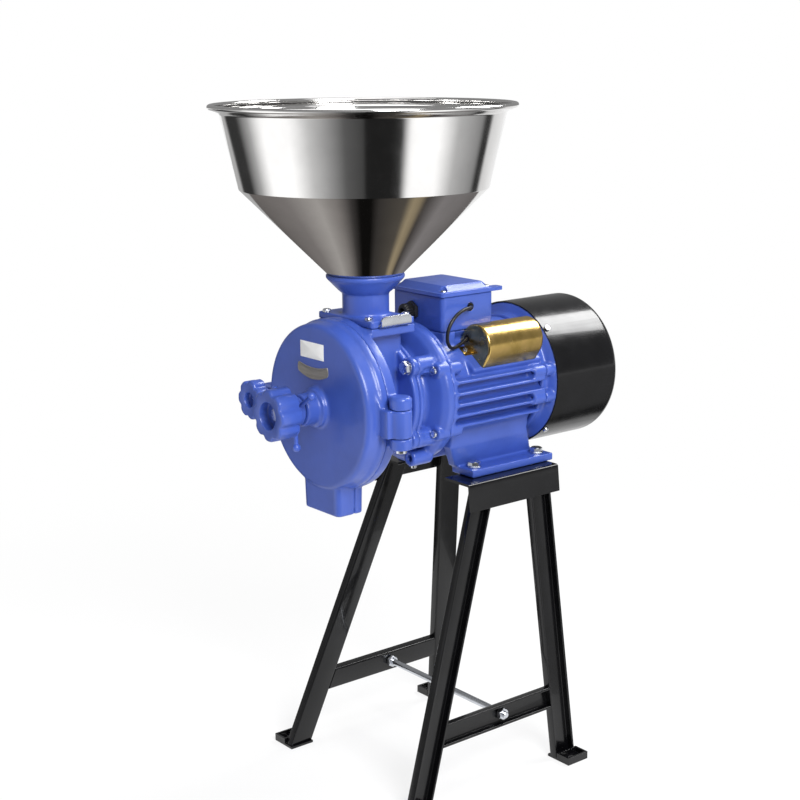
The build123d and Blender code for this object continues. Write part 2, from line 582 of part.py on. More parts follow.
LID_OVER, EAR_WIDTH = 2.0, 14.0
with BuildPart() as terminal_box_lid:
    lid_x, lid_y = (BOX_X0 - LID_OVER, BOX_X1 + LID_OVER), (BOX_Y0 - LID_OVER, BOX_Y1 + LID_OVER)
    block(lid_x, lid_y, (BOX_Z1, BOX_Z1 + 4))
    for ear_x in (BOX_X0 - LID_OVER, BOX_X1 + LID_OVER - EAR_WIDTH):
        block((ear_x, ear_x + EAR_WIDTH), (BOX_Y1, BOX_Y1 + EAR_WIDTH), (BOX_Z1, BOX_Z1 + 4))
    fillet(terminal_box_lid.edges().filter_by(Axis.Z), 4)
    mid_x, mid_y = (BOX_X0 + BOX_X1) / 2, (BOX_Y0 + BOX_Y1) / 2
    with BuildSketch(Plane.XY.offset(BOX_Z1 + 4)):
        with Locations((mid_x, mid_y)):
            RectangleRounded(BOX_X1 - BOX_X0, BOX_Y1 - BOX_Y0, 4)
    with BuildSketch(Plane.XY.offset(BOX_Z1 + 11)):
        with Locations((mid_x, mid_y)):
            RectangleRounded(BOX_X1 - BOX_X0 - 18, BOX_Y1 - BOX_Y0 - 18, 4)
    loft()
    for x, y in LID_SCREWS:
        rod(Plane(origin=(x, y, BOX_Z1)), 4.6, 4, 20, Mode.SUBTRACT)
        rod(Plane(origin=(x, y, BOX_Z1)), 2.2, -1, 20, Mode.SUBTRACT)
    block(
        (BOX_X0 + BOX_WALL, BOX_X1 - BOX_WALL),
        (BOX_Y0 + 14, BOX_Y1 - 14),
        (BOX_Z1, BOX_Z1 + 2),
        Mode.SUBTRACT,
    )
keep(terminal_box_lid, "terminal_box_lid")

with BuildPart() as lid_screws:
    for x, y in LID_SCREWS:
        line = Plane(origin=(x, y, BOX_Z1))
        rod(line, 1.9, -16, 4.1)
        rod(line, 3.6, 4, 6.6)
        with BuildSketch(line.offset(6.6)) as drive:
            Rectangle(5, 0.9)
            Rectangle(0.9, 5)
        extrude(drive.sketch, amount=-1.4, mode=Mode.SUBTRACT)
keep(lid_screws, "lid_screws")

with BuildPart() as terminal_board:
    block((-34, 6), (44, 66), (BOX_Z0 + BOX_WALL, BOX_Z0 + BOX_WALL + 8))
    for x, y in STUDS:
        rod(Plane(origin=(x, y, BOX_Z0 + BOX_WALL + 8)), 3.5, 0, 2)
        rod(Plane(origin=(x, y, BOX_Z0 + BOX_WALL)), 2.0, 2, 12, Mode.SUBTRACT)
keep(terminal_board, "terminal_board")

with BuildPart() as terminal_studs:
    for x, y in STUDS:
        line = Plane(origin=(x, y, BOX_Z0 + BOX_WALL))
        rod(line, 2.0 - SNUG, 2.1, 18)
        hexagon(line, 7, 10.1, 13.3)
keep(terminal_studs, "terminal_studs")

with BuildPart() as cable_gland:
    gland = across(BOX_Y0, GLAND_Z, GLAND_X)
    hexagon(gland, 20, 0, 5)
    rod(gland, 8.0 - SNUG, -8, 0)
    rod(gland, 9.0, 5, 16)
    hexagon(gland, 17, -9.5, -BOX_WALL - 0.1)
    fillet(cable_gland.faces().sort_by(Axis.Y)[0].edges(), 2.5)
    rod(gland, GLAND_BORE_R, -12, 20, Mode.SUBTRACT)
keep(cable_gland, "cable_gland")


def cap_outline(inset):
    """D-shaped section of the capacitor's cover, inset by a wall, on its seat."""
    half, side = CAP_HALF_W - inset, CAP_SIDE
    with BuildLine() as section:
        left, right = CAP_SHIFT - half, CAP_SHIFT + half
        Polyline((left, side), (left, 0), (right, 0), (right, side))
        ThreePointArc((right, side), (CAP_SHIFT, side + half), (left, side))
    make_face(section.edges())


# tabs of the capacitor's cover: start and end y, shift down the seat, screw y
CAP_TABS = ((22.0, CAP_Y0 + CAP_T, 13.0, 27.0), (CAP_Y1 - CAP_T, 124.6, CAP_SHIFT, 121.4))
LEAD_HOLE = (3.0, 9.5, 0)


def cap_body(inset):
    """The capacitor cover's prism, inset by a wall, with both ends rounded over."""
    with BuildPart() as body:
        with BuildSketch(cap_plane(CAP_Y0 + inset)):
            cap_outline(inset)
        extrude(amount=CAP_Y0 - CAP_Y1 + 2 * inset)
        for end, radius in ((0, 3.0), (-1, 6.0)):
            arcs = body.faces().sort_by(Axis.Y)[end].edges().filter_by(GeomType.CIRCLE)
            fillet(arcs, radius - inset)
    return body.part


with BuildPart() as capacitor_cover:
    add(cap_body(0))
    add(cap_body(CAP_T), mode=Mode.SUBTRACT)
    for y0, y1, shift, screw_y in CAP_TABS:
        with BuildSketch(cap_plane(y0)):
            with Locations((shift, CAP_T / 2)):
                Rectangle(14, CAP_T)
        extrude(amount=y0 - y1)
        seat = cap_plane(screw_y)
        line = Plane(origin=seat.from_local_coords((shift, 0, 0)), z_dir=seat.y_dir)
        rod(line, 2.2, -1, 5, Mode.SUBTRACT)
    hole = Plane(origin=cap_plane(CAP_Y0).from_local_coords(LEAD_HOLE), z_dir=(0, -1, 0))
    rod(hole, LEAD_R + 2.4, -4, 4, Mode.SUBTRACT)
keep(capacitor_cover, "capacitor_cover")

with BuildPart() as capacitor_screws:
    for y0, y1, shift, screw_y in CAP_TABS:
        seat = cap_plane(screw_y)
        line = Plane(origin=seat.from_local_coords((shift, 0, 0)), z_dir=seat.y_dir)
        rod(line, 1.9, 0.0, CAP_T + 0.1)
        rod(line, 3.1, CAP_T, CAP_T + 2.6)
        with BuildSketch(line.offset(CAP_T + 2.6)) as drive:
            Rectangle(4.4, 0.9)
            Rectangle(0.9, 4.4)
        extrude(drive.sketch, amount=-1.4, mode=Mode.SUBTRACT)
keep(capacitor_screws, "capacitor_screws")

with BuildPart() as capacitor:
    centre = cap_plane(CAP_Y0 + 8).from_local_coords((CAP_SHIFT, CAPACITOR_R + 0.6, 0))
    line = Plane(origin=centre, z_dir=(0, 1, 0))
    rod(line, CAPACITOR_R, 0, 66)
    fillet(capacitor.edges(), 2)
    rod(line, 3, 65, 71)
keep(capacitor, "capacitor")

LEAD_END = cap_plane(CAP_Y0).from_local_coords(LEAD_HOLE)
LEAD_ROUTE = [
    (BOX_X1, 42.5, 547.0),
    (48.0, 37.5, 547.6),
    (52.5, 27.0, 548.4),
    (55.5, 14.5, 546.5),
    (57.0, 3.0, 540.0),
    (57.0, -5.0, 528.5),
    (55.0, -5.0, 514.5),
    (51.0, 4.5, 504.5),
    (47.5, 18.0, 505.5),
    (LEAD_END.X, CAP_Y0, LEAD_END.Z),
]


def lead_radii(route):
    """The largest arc that each corner's two runs allow."""
    radii = []
    for before, corner, after in zip(route, route[1:], route[2:]):
        first, second = Vector(corner) - Vector(before), Vector(after) - Vector(corner)
        half_turn = radians(first.get_angle(second)) / 2
        radii.append(0.45 * min(first.length, second.length) / tan(half_turn))
    return radii


LEAD_RADII = lead_radii(LEAD_ROUTE)
print("lead radii", [round(radius, 1) for radius in LEAD_RADII])

with BuildPart() as capacitor_lead:
    with BuildLine() as lead_path:
        FilletPolyline(*LEAD_ROUTE, radius=LEAD_RADII)
    with BuildSketch(Plane(origin=lead_path.line @ 0, z_dir=lead_path.line % 0)):
        Circle(LEAD_R)
    sweep()
LEAD_LENGTH = sum(edge.length for edge in lead_path.edges())
print("lead length", round(LEAD_LENGTH, 1), "volume", round(capacitor_lead.part.volume, 1))
print("section x length", round(pi * LEAD_R**2 * LEAD_LENGTH, 1))
keep(capacitor_lead, "capacitor_lead")

with BuildPart() as lead_grommets:
    box_end = Plane(origin=LEAD_ROUTE[0], z_dir=(1, 0, 0))
    cover_end = Plane(origin=LEAD_END, z_dir=(0, -1, 0))
    for end, wall, hole_r in ((box_end, BOX_WALL, 4.5), (cover_end, CAP_T, LEAD_R + 2.4)):
        rod(end, hole_r - 0.1, -wall - 1.5, 0)
        rod(end, hole_r + 1.4, -wall - 1.5, -wall - 0.1)
        rod(end, LEAD_R + 0.8, -wall - 2, 1, Mode.SUBTRACT)
keep(lead_grommets, "lead_grommets")


# ---- mill --------------------------------------------------------------------------
def spout(inset, top, mode=Mode.ADD):
    """Straight spout under the grinding chamber, or its bore when inset."""
    y0, y1 = SPOUT_Y0 + inset, SPOUT_Y1 - inset
    with BuildSketch(Plane.XY.offset(SPOUT_Z)) as mouth:
        with Locations((0, (y0 + y1) / 2)):
            RectangleRounded(2 * (SPOUT_HALF_X - inset), y1 - y0, 6 - inset / 2)
    extrude(mouth.sketch, amount=top - SPOUT_Z, taper=-1.5, mode=mode)


CHAMBER_FRONT_Y = COVER_FACE_Y + 7
COVER_CHAMBER = [(PART_Y, 0), (PART_Y, CHAMBER_R), (CHAMBER_FRONT_Y, 82, 4), (CHAMBER_FRONT_Y, 0)]
CASING_CHAMBER = [(PART_Y, 0), (PART_Y, CHAMBER_R), (CHAMBER_BACK_Y, CHAMBER_R, 3), (CHAMBER_BACK_Y, 0)]

with BuildPart() as front_cover:
    turned(
        [
            (-151.5, 0), (-151.5, 22, 1.5), (COVER_FACE_Y, 22, 2), (COVER_FACE_Y, 91, 5), (-128, 93),
            (-127, RIM_R, 1), (PART_Y, RIM_R), (PART_Y, 0),
        ]
    )
    spout(0, SHAFT_Z - 80)
    turned(COVER_CHAMBER, mode=Mode.SUBTRACT)
    spout(SPOUT_WALL, SHAFT_Z - 76, Mode.SUBTRACT)
    split(bisect_by=across(PART_Y), keep=Keep.TOP)
    turned([(-169, 0), (-169, HUB_R, 1.5), (-151, HUB_R, 2), (-151, 0)])
    # gusset arm and hinge knuckle
    low, high = KNUCKLE_Z[1] + 0.3 - SHAFT_Z, KNUCKLE_Z[2] - 0.3 - SHAFT_Z
    with BuildSketch(across(PART_Y)):
        with BuildLine():
            tip = [(HINGE_X, high), (HINGE_X, low)]
            fairing = [(78, -4), (86, 34), (95, high + 1), (97, high)]
            Polyline(*fairing, *tip, (97, low), (84, -14), close=True)
        make_face()
    extrude(amount=13)
    pin_line = Plane(origin=(HINGE_X, HINGE_Y, SHAFT_Z))
    rod(pin_line, KNUCKLE_R, low, high)
    rod(pin_line, PIN_R + RUN, low - 1, high + 1, Mode.SUBTRACT)
    # clamp lug
    clamp = across(PART_Y, CLAMP_Z, CLAMP_X)
    with BuildSketch(clamp):
        SlotCenterPoint((0, 0), (18, 0), 24)
        with Locations((18, 0)):
            Rectangle(30, 24)
    extrude(amount=12)
    turned(COVER_CHAMBER, mode=Mode.SUBTRACT)
    rod(clamp, CLAMP_R + RUN, -1, 20, Mode.SUBTRACT)
    rod(across(0), SCREW_R, 100, 200, Mode.SUBTRACT)
keep(front_cover, "front_cover")

with BuildPart() as rear_casing:
    turned(
        [
            (PART_Y, 0), (PART_Y, RIM_R), (-106, RIM_R, 2.5), (-106, 87.2, 1), (CASING_BACK_Y, 80, 6),
            (CASING_BACK_Y, 36, 4), (FLANGE_Y0, 34, 4), (FLANGE_Y0, FLANGE_R, 1.5),
            (FLANGE_Y1, FLANGE_R, 1.5), (FLANGE_Y1, 34), (-46, 34, 2), (-46, 0),
        ]
    )
    block((-35, 35), (-101, -54), (SHAFT_Z, CASING_FLANGE_Z + 1))
    spout(0, SHAFT_Z - 80)
    block(
        (-FLANGE_HALF_X, FLANGE_HALF_X),
        (FEED_Y - FLANGE_HALF_Y, FEED_Y + FLANGE_HALF_Y),
        (CASING_FLANGE_Z, NECK_Z0),
    )
    for x, dz in EARS:
        rod(across(0, SHAFT_Z + dz, x), EAR_R, -FLANGE_Y1, -FLANGE_Y0)
        rod(across(0, SHAFT_Z + dz, x), CASING_BOLT_R + 0.3, 50, -FLANGE_Y0 + 12, Mode.SUBTRACT)
    split(bisect_by=across(PART_Y), keep=Keep.BOTTOM)
    # hinge knuckles
    for z0, z1 in (KNUCKLE_Z[:2], KNUCKLE_Z[2:]):
        block((84, HINGE_X), (PART_Y + 0.1, -104), (z0, z1))
        rod(Plane(origin=(HINGE_X, HINGE_Y, 0)), KNUCKLE_R, z0, z1)
    with Locations((HINGE_X, HINGE_Y, KNUCKLE_Z[3])):
        Cone(KNUCKLE_R, KNUCKLE_R - 2.5, 2.5, align=(Align.CENTER, Align.CENTER, Align.MIN))
    # clamp lug
    clamp = across(PART_Y, CLAMP_Z, CLAMP_X)
    with BuildSketch(clamp):
        SlotCenterPoint((0, 0), (18, 0), 24)
        with Locations((18, 0)):
            Rectangle(30, 24)
    extrude(amount=-11)
    # grinding chamber, spout bore, auger bore, feed shaft, pin and stud holes
    turned(CASING_CHAMBER, mode=Mode.SUBTRACT)
    spout(SPOUT_WALL, SHAFT_Z - 76, Mode.SUBTRACT)
    rod(across(0), 21.5, 56, 110, Mode.SUBTRACT)
    rod(across(0), 10.4, 40, 60, Mode.SUBTRACT)
    rod(Plane(origin=(0, FEED_Y, 0)), FEED_BORE_R, SHAFT_Z, NECK_Z0 + 5, Mode.SUBTRACT)
    rod(Plane(origin=(HINGE_X, HINGE_Y, 0)), PIN_R + SNUG, 400, PIN_TOP, Mode.SUBTRACT)
    rod(clamp, CLAMP_R + RUN, -20, 1, Mode.SUBTRACT)
    for x, y in NECK_BOLTS:
        rod(Plane(origin=(x, y, 0)), 2.5, CASING_FLANGE_Z, NECK_Z0, Mode.SUBTRACT)
    for angle in DISC_SCREW_ANGLES:
        x, dz = polar(DISC_SCREW_R, angle)
        rod(across(0, SHAFT_Z + dz, x), 3.0, 98, 110, Mode.SUBTRACT)
keep(rear_casing, "rear_casing")

with BuildPart() as hinge_pin:
    line = Plane(origin=(HINGE_X, HINGE_Y, 0))
    rod(line, PIN_R, KNUCKLE_Z[0] - 1, PIN_TOP - 0.5)
    rod(line, 6.5, KNUCKLE_Z[0] - 4, KNUCKLE_Z[0])
    chamfer(hinge_pin.faces().sort_by(Axis.Z)[0].edges(), 0.8)
keep(hinge_pin, "hinge_pin")

with BuildPart() as casing_bolts:
    for x, dz in EARS:
        line = across(0, SHAFT_Z + dz, x)
        rod(line, CASING_BOLT_R, 28, -FLANGE_Y0 + 1)
        rod(line, 8.0, -FLANGE_Y0, -FLANGE_Y0 + 1.6)
        hexagon(line, NUT_FLATS, -FLANGE_Y0 + 1.6, -FLANGE_Y0 + 7)
keep(casing_bolts, "casing_bolts")

GROOVES = 24


def grooves(face_y, depth, twist):
    """Slanted milling grooves across a disc's face; a depth above 0 cuts towards -Y."""
    with BuildSketch(across(face_y)) as cuts:
        with PolarLocations(51, GROOVES):
            Rectangle(44, 2.6, rotation=twist)
    extrude(cuts.sketch, amount=depth, mode=Mode.SUBTRACT)


with BuildPart() as fixed_disc:
    face = CHAMBER_BACK_Y - DISC_T
    turned(
        [(face, DISC_BORE_R), (face, DISC_R, 1), (CHAMBER_BACK_Y, DISC_R), (CHAMBER_BACK_Y, DISC_BORE_R)]
    )
    grooves(face, -1.5, 18)
    for angle in DISC_SCREW_ANGLES:
        x, dz = polar(DISC_SCREW_R, angle)
        rod(across(0, SHAFT_Z + dz, x), 3.2, 100, 120, Mode.SUBTRACT)
        rod(across(0, SHAFT_Z + dz, x), 6.2, -face - 4, 120, Mode.SUBTRACT)
keep(fixed_disc, "fixed_disc")

with BuildPart() as disc_screws:
    for angle in DISC_SCREW_ANGLES:
        x, dz = polar(DISC_SCREW_R, angle)
        line = across(0, SHAFT_Z + dz, x)
        rod(line, 2.95, 98.5, 108.1)
        rod(line, 5.5, 108, 111)
        with BuildSketch(line.offset(111)) as drive:
            Rectangle(8, 1.2)
        extrude(drive.sketch, amount=-1.5, mode=Mode.SUBTRACT)
keep(disc_screws, "disc_screws")

MOVING_FACE = CHAMBER_BACK_Y - DISC_T - 0.5
MOVING_FRONT = MOVING_FACE - DISC_T
HUB_FRONT = -126.0

with BuildPart() as moving_disc:
    turned(
        [
            (HUB_FRONT, 0), (HUB_FRONT, 17, 1.5), (MOVING_FRONT, 19, 2), (MOVING_FRONT, DISC_R, 1),
            (MOVING_FACE, DISC_R, 1), (MOVING_FACE, 0),
        ]
    )
    grooves(MOVING_FACE, 1.5, -18)
    turned([(-118, 0), (-118, 14), (MOVING_FACE, 14), (MOVING_FACE, 0)], mode=Mode.SUBTRACT)
    with BuildSketch(across(-110)) as bore:
        Circle(SEAT_R + RUN)
        Rectangle(2 * (SEAT_FLAT + RUN), 30, mode=Mode.INTERSECT)
    extrude(bore.sketch, amount=14.8, mode=Mode.SUBTRACT)
keep(moving_disc, "moving_disc")

SPRING_Y0, SPRING_Y1, SPRING_R, SPRING_WIRE_R = -116.8, -105.4, 11.6, 1.0

with BuildPart() as disc_spring:
    with BuildLine() as coil:
        Helix(
            pitch=(SPRING_Y1 - SPRING_Y0) / 4,
            height=SPRING_Y1 - SPRING_Y0,
            radius=SPRING_R,
            center=(0, SPRING_Y0, SHAFT_Z),
            direction=(0, 1, 0),
        )
    with BuildSketch(Plane(origin=coil.line @ 0, z_dir=coil.line % 0)):
        Circle(SPRING_WIRE_R)
    sweep(is_frenet=True)
keep(disc_spring, "disc_spring")

AUGER_Y0, AUGER_Y1, AUGER_CORE_R, AUGER_R = -104.0, -58.5, 12.5, 20.5
FLIGHT_T, FLIGHT_TURNS = 4.0, 1.8

with BuildPart() as feed_auger:
    run = AUGER_Y1 - AUGER_Y0 - FLIGHT_T - 1
    with BuildLine() as flight:
        Helix(
            pitch=run / FLIGHT_TURNS,
            height=run,
            radius=AUGER_CORE_R,
            center=(0, AUGER_Y0 + FLIGHT_T / 2 + 0.5, SHAFT_Z),
            direction=(0, 1, 0),
        )
    start = flight.line @ 0
    radial = Vector(start.X, 0, start.Z - SHAFT_Z).normalized()
    with BuildSketch(Plane(origin=start, x_dir=radial, z_dir=radial.cross(Vector(0, 1, 0)))):
        with Locations(((AUGER_R - AUGER_CORE_R - 2) / 2, 0)):
            Rectangle(AUGER_R - AUGER_CORE_R + 2, FLIGHT_T)
    sweep(is_frenet=True)
    turned(
        [
            (AUGER_Y0, SEAT_R + SNUG), (AUGER_Y0, AUGER_CORE_R), (AUGER_Y1, AUGER_CORE_R),
            (AUGER_Y1, SEAT_R + SNUG),
        ]
    )
    rod(across(0), SEAT_R + SNUG, 50, 120, Mode.SUBTRACT)
keep(feed_auger, "feed_auger")

BALL_Y = HUB_FRONT - 0.3 - BALL_R
SCREW_TIP_Y = BALL_Y - BALL_R - 0.3

with BuildPart() as thrust_ball:
    with Locations((0, BALL_Y, SHAFT_Z)):
        Sphere(BALL_R)
keep(thrust_ball, "thrust_ball")

KNOB_BACK_Y = KNOB_FACE_Y + KNOB_LENGTH

with BuildPart() as adjusting_screw:
    rod(across(0), SCREW_R - RUN, -SCREW_TIP_Y, -KNOB_FACE_Y - 10)
    chamfer(adjusting_screw.edges().filter_by(GeomType.CIRCLE), 0.9)
keep(adjusting_screw, "adjusting_screw")


def lobed_knob(plane, radius, lobes, length, recess_r, recess):
    """Star knob: lobes around a drum, with a round recess in its face (local +z)."""
    with BuildSketch(plane) as star:
        Circle(radius * 0.93)
        with PolarLocations(radius * 0.82, lobes):
            Circle(radius * 0.2)
        with PolarLocations(radius * 1.04, lobes, start_angle=180 / lobes):
            Circle(radius * 0.15, mode=Mode.SUBTRACT)
    extrude(star.sketch, amount=length)
    rod(plane, recess_r, length - recess, length + 1, Mode.SUBTRACT)


with BuildPart() as adjusting_knob:
    back = across(KNOB_BACK_Y)
    lobed_knob(back, KNOB_R, 8, KNOB_LENGTH, 15, 11)
    chamfer(adjusting_knob.faces().sort_by(Axis.Y)[0].outer_wire().edges(), 1.2)
    rod(back, 13, -2, 1)
    rod(across(0), SCREW_R - RUN + SNUG, 100, -KNOB_FACE_Y - 10, Mode.SUBTRACT)
keep(adjusting_knob, "adjusting_knob")

with BuildPart() as lock_nut:
    nut = across(0)
    rod(nut, 15.5, -LOCK_NUT_Y1, -LOCK_NUT_Y0)
    chamfer(lock_nut.edges(), 1)
    rod(nut, SCREW_R, -LOCK_NUT_Y1 - 1, -LOCK_NUT_Y0 + 1, Mode.SUBTRACT)
    for angle in LEVER_ANGLES:
        rod(spoke(angle, LOCK_NUT_MID_Y), STEM_R + SNUG, 12, 16, Mode.SUBTRACT)
keep(lock_nut, "lock_nut")

with BuildPart() as lock_levers:
    for angle in LEVER_ANGLES:
        out = spoke(angle, LOCK_NUT_MID_Y).z_dir
        square = out.cross(Vector(0, 1, 0))
        lengthwise = Plane(origin=(0, LOCK_NUT_MID_Y, SHAFT_Z), x_dir=out, z_dir=square)
        neck = LEVER_BALL_AT - sqrt(LEVER_BALL_R**2 - STEM_R**2)
        tip = (LEVER_BALL_AT + LEVER_BALL_R, 0)
        with BuildSketch(lengthwise) as lever:
            with BuildLine():
                Polyline(tip, (12.1, 0), (12.1, STEM_R), (neck, STEM_R))
                ThreePointArc((neck, STEM_R), (LEVER_BALL_AT, LEVER_BALL_R), tip)
            make_face()
        revolve(lever.sketch, axis=Axis((0, LOCK_NUT_MID_Y, SHAFT_Z), out))
keep(lock_levers, "lock_levers")

CLAMP_LINE = across(0, CLAMP_Z, CLAMP_X)

with BuildPart() as clamp_washer:
    rod(CLAMP_LINE, 9, 131.3, 133.1)
    rod(CLAMP_LINE, CLAMP_R + RUN, 130, 135, Mode.SUBTRACT)
keep(clamp_washer, "clamp_washer")

with BuildPart() as clamp_screw:
    rod(CLAMP_LINE, CLAMP_R, 106, 148)
    chamfer(clamp_screw.edges().filter_by(GeomType.CIRCLE), 0.8)
keep(clamp_screw, "clamp_screw")

with BuildPart() as clamp_knob:
    lobed_knob(CLAMP_LINE.offset(139), 22.5, 7, 17, 9, 8)
    chamfer(clamp_knob.faces().sort_by(Axis.Y)[0].outer_wire().edges(), 1.0)
    rod(CLAMP_LINE, 10, 133.3, 140)
    rod(CLAMP_LINE, CLAMP_R + SNUG, 130, 148, Mode.SUBTRACT)
keep(clamp_knob, "clamp_knob")

with BuildPart() as cover_nameplate:
    with BuildSketch(across(COVER_FACE_Y)):
        with BuildLine():
            ThreePointArc((-33, 47), (-5, 43.5), (23, 47))
            Line((23, 47), (22, 36))
            ThreePointArc((22, 36), (-5, 30.5), (-32, 36))
            Line((-32, 36), (-33, 47))
        make_face()
    extrude(amount=0.8)
keep(cover_nameplate, "cover_nameplate")


# ---- feed neck, gate and hopper ------------------------------------------------------
with BuildPart() as feed_neck:
    block(
        (-FLANGE_HALF_X, FLANGE_HALF_X),
        (FEED_Y - FLANGE_HALF_Y, FEED_Y + FLANGE_HALF_Y),
        (NECK_Z0, NECK_Z1),
    )
    fillet(feed_neck.edges().filter_by(Axis.Z), 3)
    turned(
        [
            (0, NECK_Z0), (NECK_R, NECK_Z0), (NECK_R, NECK_STEP_Z), (NECK_R + 2.4, NECK_STEP_Z, 1),
            (LIP_R - 2, LIP_Z - 6, 6), (LIP_R, LIP_Z - 4, 1.5), (LIP_R, LIP_Z, 1), (0, LIP_Z),
        ],
        FEED,
        FEED_PROFILE,
    )
    bore = SPIGOT_R + 0.4
    slope = (CONE_TOP_R - SPIGOT_R) / (CONE_TOP_Z - NECK_STEP_Z)
    mouth = bore + slope * (LIP_Z - NECK_STEP_Z)
    low, high = NECK_STEP_Z - 0.7, LIP_Z - 0.7
    turned(
        [
            (0, NECK_Z0 - 1), (bore, NECK_Z0 - 1), (bore, low), (mouth, high), (mouth, LIP_Z + 1),
            (0, LIP_Z + 1),
        ],
        FEED,
        FEED_PROFILE,
        Mode.SUBTRACT,
    )
    block(
        (GATE_X0 - 1.5, FLANGE_HALF_X + 1),
        (FEED_Y - GATE_HALF_W - 0.3, FEED_Y + GATE_HALF_W + 0.3),
        (NECK_Z0, NECK_Z0 + GATE_T + 0.3),
        Mode.SUBTRACT,
    )
    for x, y in NECK_BOLTS:
        rod(Plane(origin=(x, y, 0)), 2.8, NECK_Z0 - 1, NECK_Z1 + 1, Mode.SUBTRACT)
keep(feed_neck, "feed_neck")

with BuildPart() as neck_bolts:
    for x, y in NECK_BOLTS:
        line = Plane(origin=(x, y, NECK_Z1))
        rod(line, 2.45, -17, 0.1)
        hexagon(line, 8, 0, 3.5)
keep(neck_bolts, "neck_bolts")

with BuildPart() as gate_plate:
    low, high = NECK_Z0 + 0.15, NECK_Z0 + 0.15 + GATE_T
    lip_x = FLANGE_HALF_X + 6
    with BuildSketch(Plane.XZ.offset(-FEED_Y - GATE_HALF_W)):
        with BuildLine():
            FilletPolyline(
                (GATE_X0, low), (lip_x, low), (lip_x, high + 11), (lip_x - GATE_T, high + 11),
                (lip_x - GATE_T, high), (GATE_X0, high),
                radius=[0, 5, 0, 0, 3, 0],
                close=True,
            )
        make_face()
    extrude(amount=2 * GATE_HALF_W)
    # the lip's two upper corners are rounded
    lip_top = high + 11
    with BuildSketch(Plane.YZ.offset(GATE_X0 - 1)):
        with BuildLine():
            y0, y1 = FEED_Y - GATE_HALF_W, FEED_Y + GATE_HALF_W
            corners = (y0, low), (y1, low), (y1, lip_top), (y0, lip_top)
            FilletPolyline(*corners, radius=[0, 0, 6, 6], close=True)
        make_face()
    extrude(amount=lip_x - GATE_X0 + 2, mode=Mode.INTERSECT)
keep(gate_plate, "gate_plate")

with BuildPart() as hopper:
    t = HOPPER_T
    roll_x = HOPPER_RIM_R - RIM_ROLL_R
    turned(
        [
            (SPIGOT_R, SPIGOT_Z), (SPIGOT_R, NECK_STEP_Z), (CONE_TOP_R, CONE_TOP_Z, 2),
            (BAND_TOP_R, BAND_TOP_Z, 4), (roll_x, RIM_TOP_Z - 2.2 * RIM_ROLL_R),
            (roll_x, RIM_TOP_Z - 1.6 * RIM_ROLL_R), (BAND_TOP_R - t, BAND_TOP_Z + t, 3),
            (CONE_TOP_R - t * 1.2, CONE_TOP_Z + 0.5 * t, 3), (SPIGOT_R - t, NECK_STEP_Z + 0.4 * t),
            (SPIGOT_R - t, SPIGOT_Z),
        ],
        FEED,
        FEED_PROFILE,
    )
    with Locations((0, FEED_Y, RIM_TOP_Z - RIM_ROLL_R)):
        Torus(HOPPER_RIM_R - RIM_ROLL_R, RIM_ROLL_R)
keep(hopper, "hopper")
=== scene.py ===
import json
import math

import bmesh
import bpy
import numpy as np
from mathutils import Matrix, Vector


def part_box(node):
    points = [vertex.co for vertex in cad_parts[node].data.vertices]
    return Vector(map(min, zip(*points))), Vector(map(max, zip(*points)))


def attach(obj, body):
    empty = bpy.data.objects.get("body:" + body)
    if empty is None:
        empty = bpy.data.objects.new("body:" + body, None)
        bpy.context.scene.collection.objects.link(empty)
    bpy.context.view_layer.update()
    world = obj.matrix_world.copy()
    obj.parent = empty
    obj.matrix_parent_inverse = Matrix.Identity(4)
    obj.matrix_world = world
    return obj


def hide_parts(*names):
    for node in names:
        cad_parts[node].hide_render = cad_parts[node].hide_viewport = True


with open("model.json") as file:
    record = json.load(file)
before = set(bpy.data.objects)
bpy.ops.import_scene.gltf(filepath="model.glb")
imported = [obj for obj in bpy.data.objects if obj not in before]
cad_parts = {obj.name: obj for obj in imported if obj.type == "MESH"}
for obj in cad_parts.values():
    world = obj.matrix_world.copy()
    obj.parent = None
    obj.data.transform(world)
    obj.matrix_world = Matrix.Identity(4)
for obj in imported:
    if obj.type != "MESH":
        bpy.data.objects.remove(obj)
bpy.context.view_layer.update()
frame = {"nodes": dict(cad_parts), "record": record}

bl_info = {
    "name": "Electric Grain Mill",
    "version": (1, 0, 0),
    "blender": (4, 5, 0),
    "location": "3D View > Sidebar > Grain Mill",
    "description": "Dresses the solids of an electric grain mill with finished surfaces",
    "category": "Add Mesh",
}

# Lengths are in millimetres unless a name says otherwise. +X is the side of the cover's hinge,
# -Y the front, +Z up; the shaft runs along Y.
MM = 0.001
SHAFT_Z = 452.0
FEED_X, FEED_Y = 0.0, -75.6
FRONT, BACK = (0.0, -1.0, 0.0), (0.0, 1.0, 0.0)
UP, RIGHT = (0.0, 0.0, 1.0), (1.0, 0.0, 0.0)

# Height, sheet thickness, inward lean per millimetre of height and depth of a channel.
STAND_TOP, SHEET, LEAN, CHANNEL = 354.5, 3.0, 0.107, 11.0
LEAN_LENGTH = math.sqrt(1 + LEAN**2)
FRAME_X = 120.5  # outer plane of a side frame at the floor
LEG_WIDTH = 31.0
FRONT_LEG, REAR_LEG = (-116.0, 0.37), (110.5, -0.039)  # front edge at the floor, slope
BAR_Y, BAR_INNER_X, SKIRT_DROP, SKIRT_T = (2.0, 141.0), 42.0, 32.0, 2.5
CROSSBAR_Z = (65.0, 90.6)
TIE_ROD_Y, TIE_ROD_Z, TIE_ROD_END, TIE_ROD_R = 33.6, 78.0, 115.0, 3.9
TIE_NUT_X = (-111.4, -100.3, 93.8, 104.9)
NUT_FLATS, NUT_THICK = 13.0, 6.5
EDGE_R, FOLD_R = 0.8, 2.2  # rounding of the folded sheet's cut edges and of its folds
FRONT_BELL_Y, REAR_BELL_Y, BELL_CIRCLE = -33.0, 147.0, 76.0  # faces and circle of the bell screws
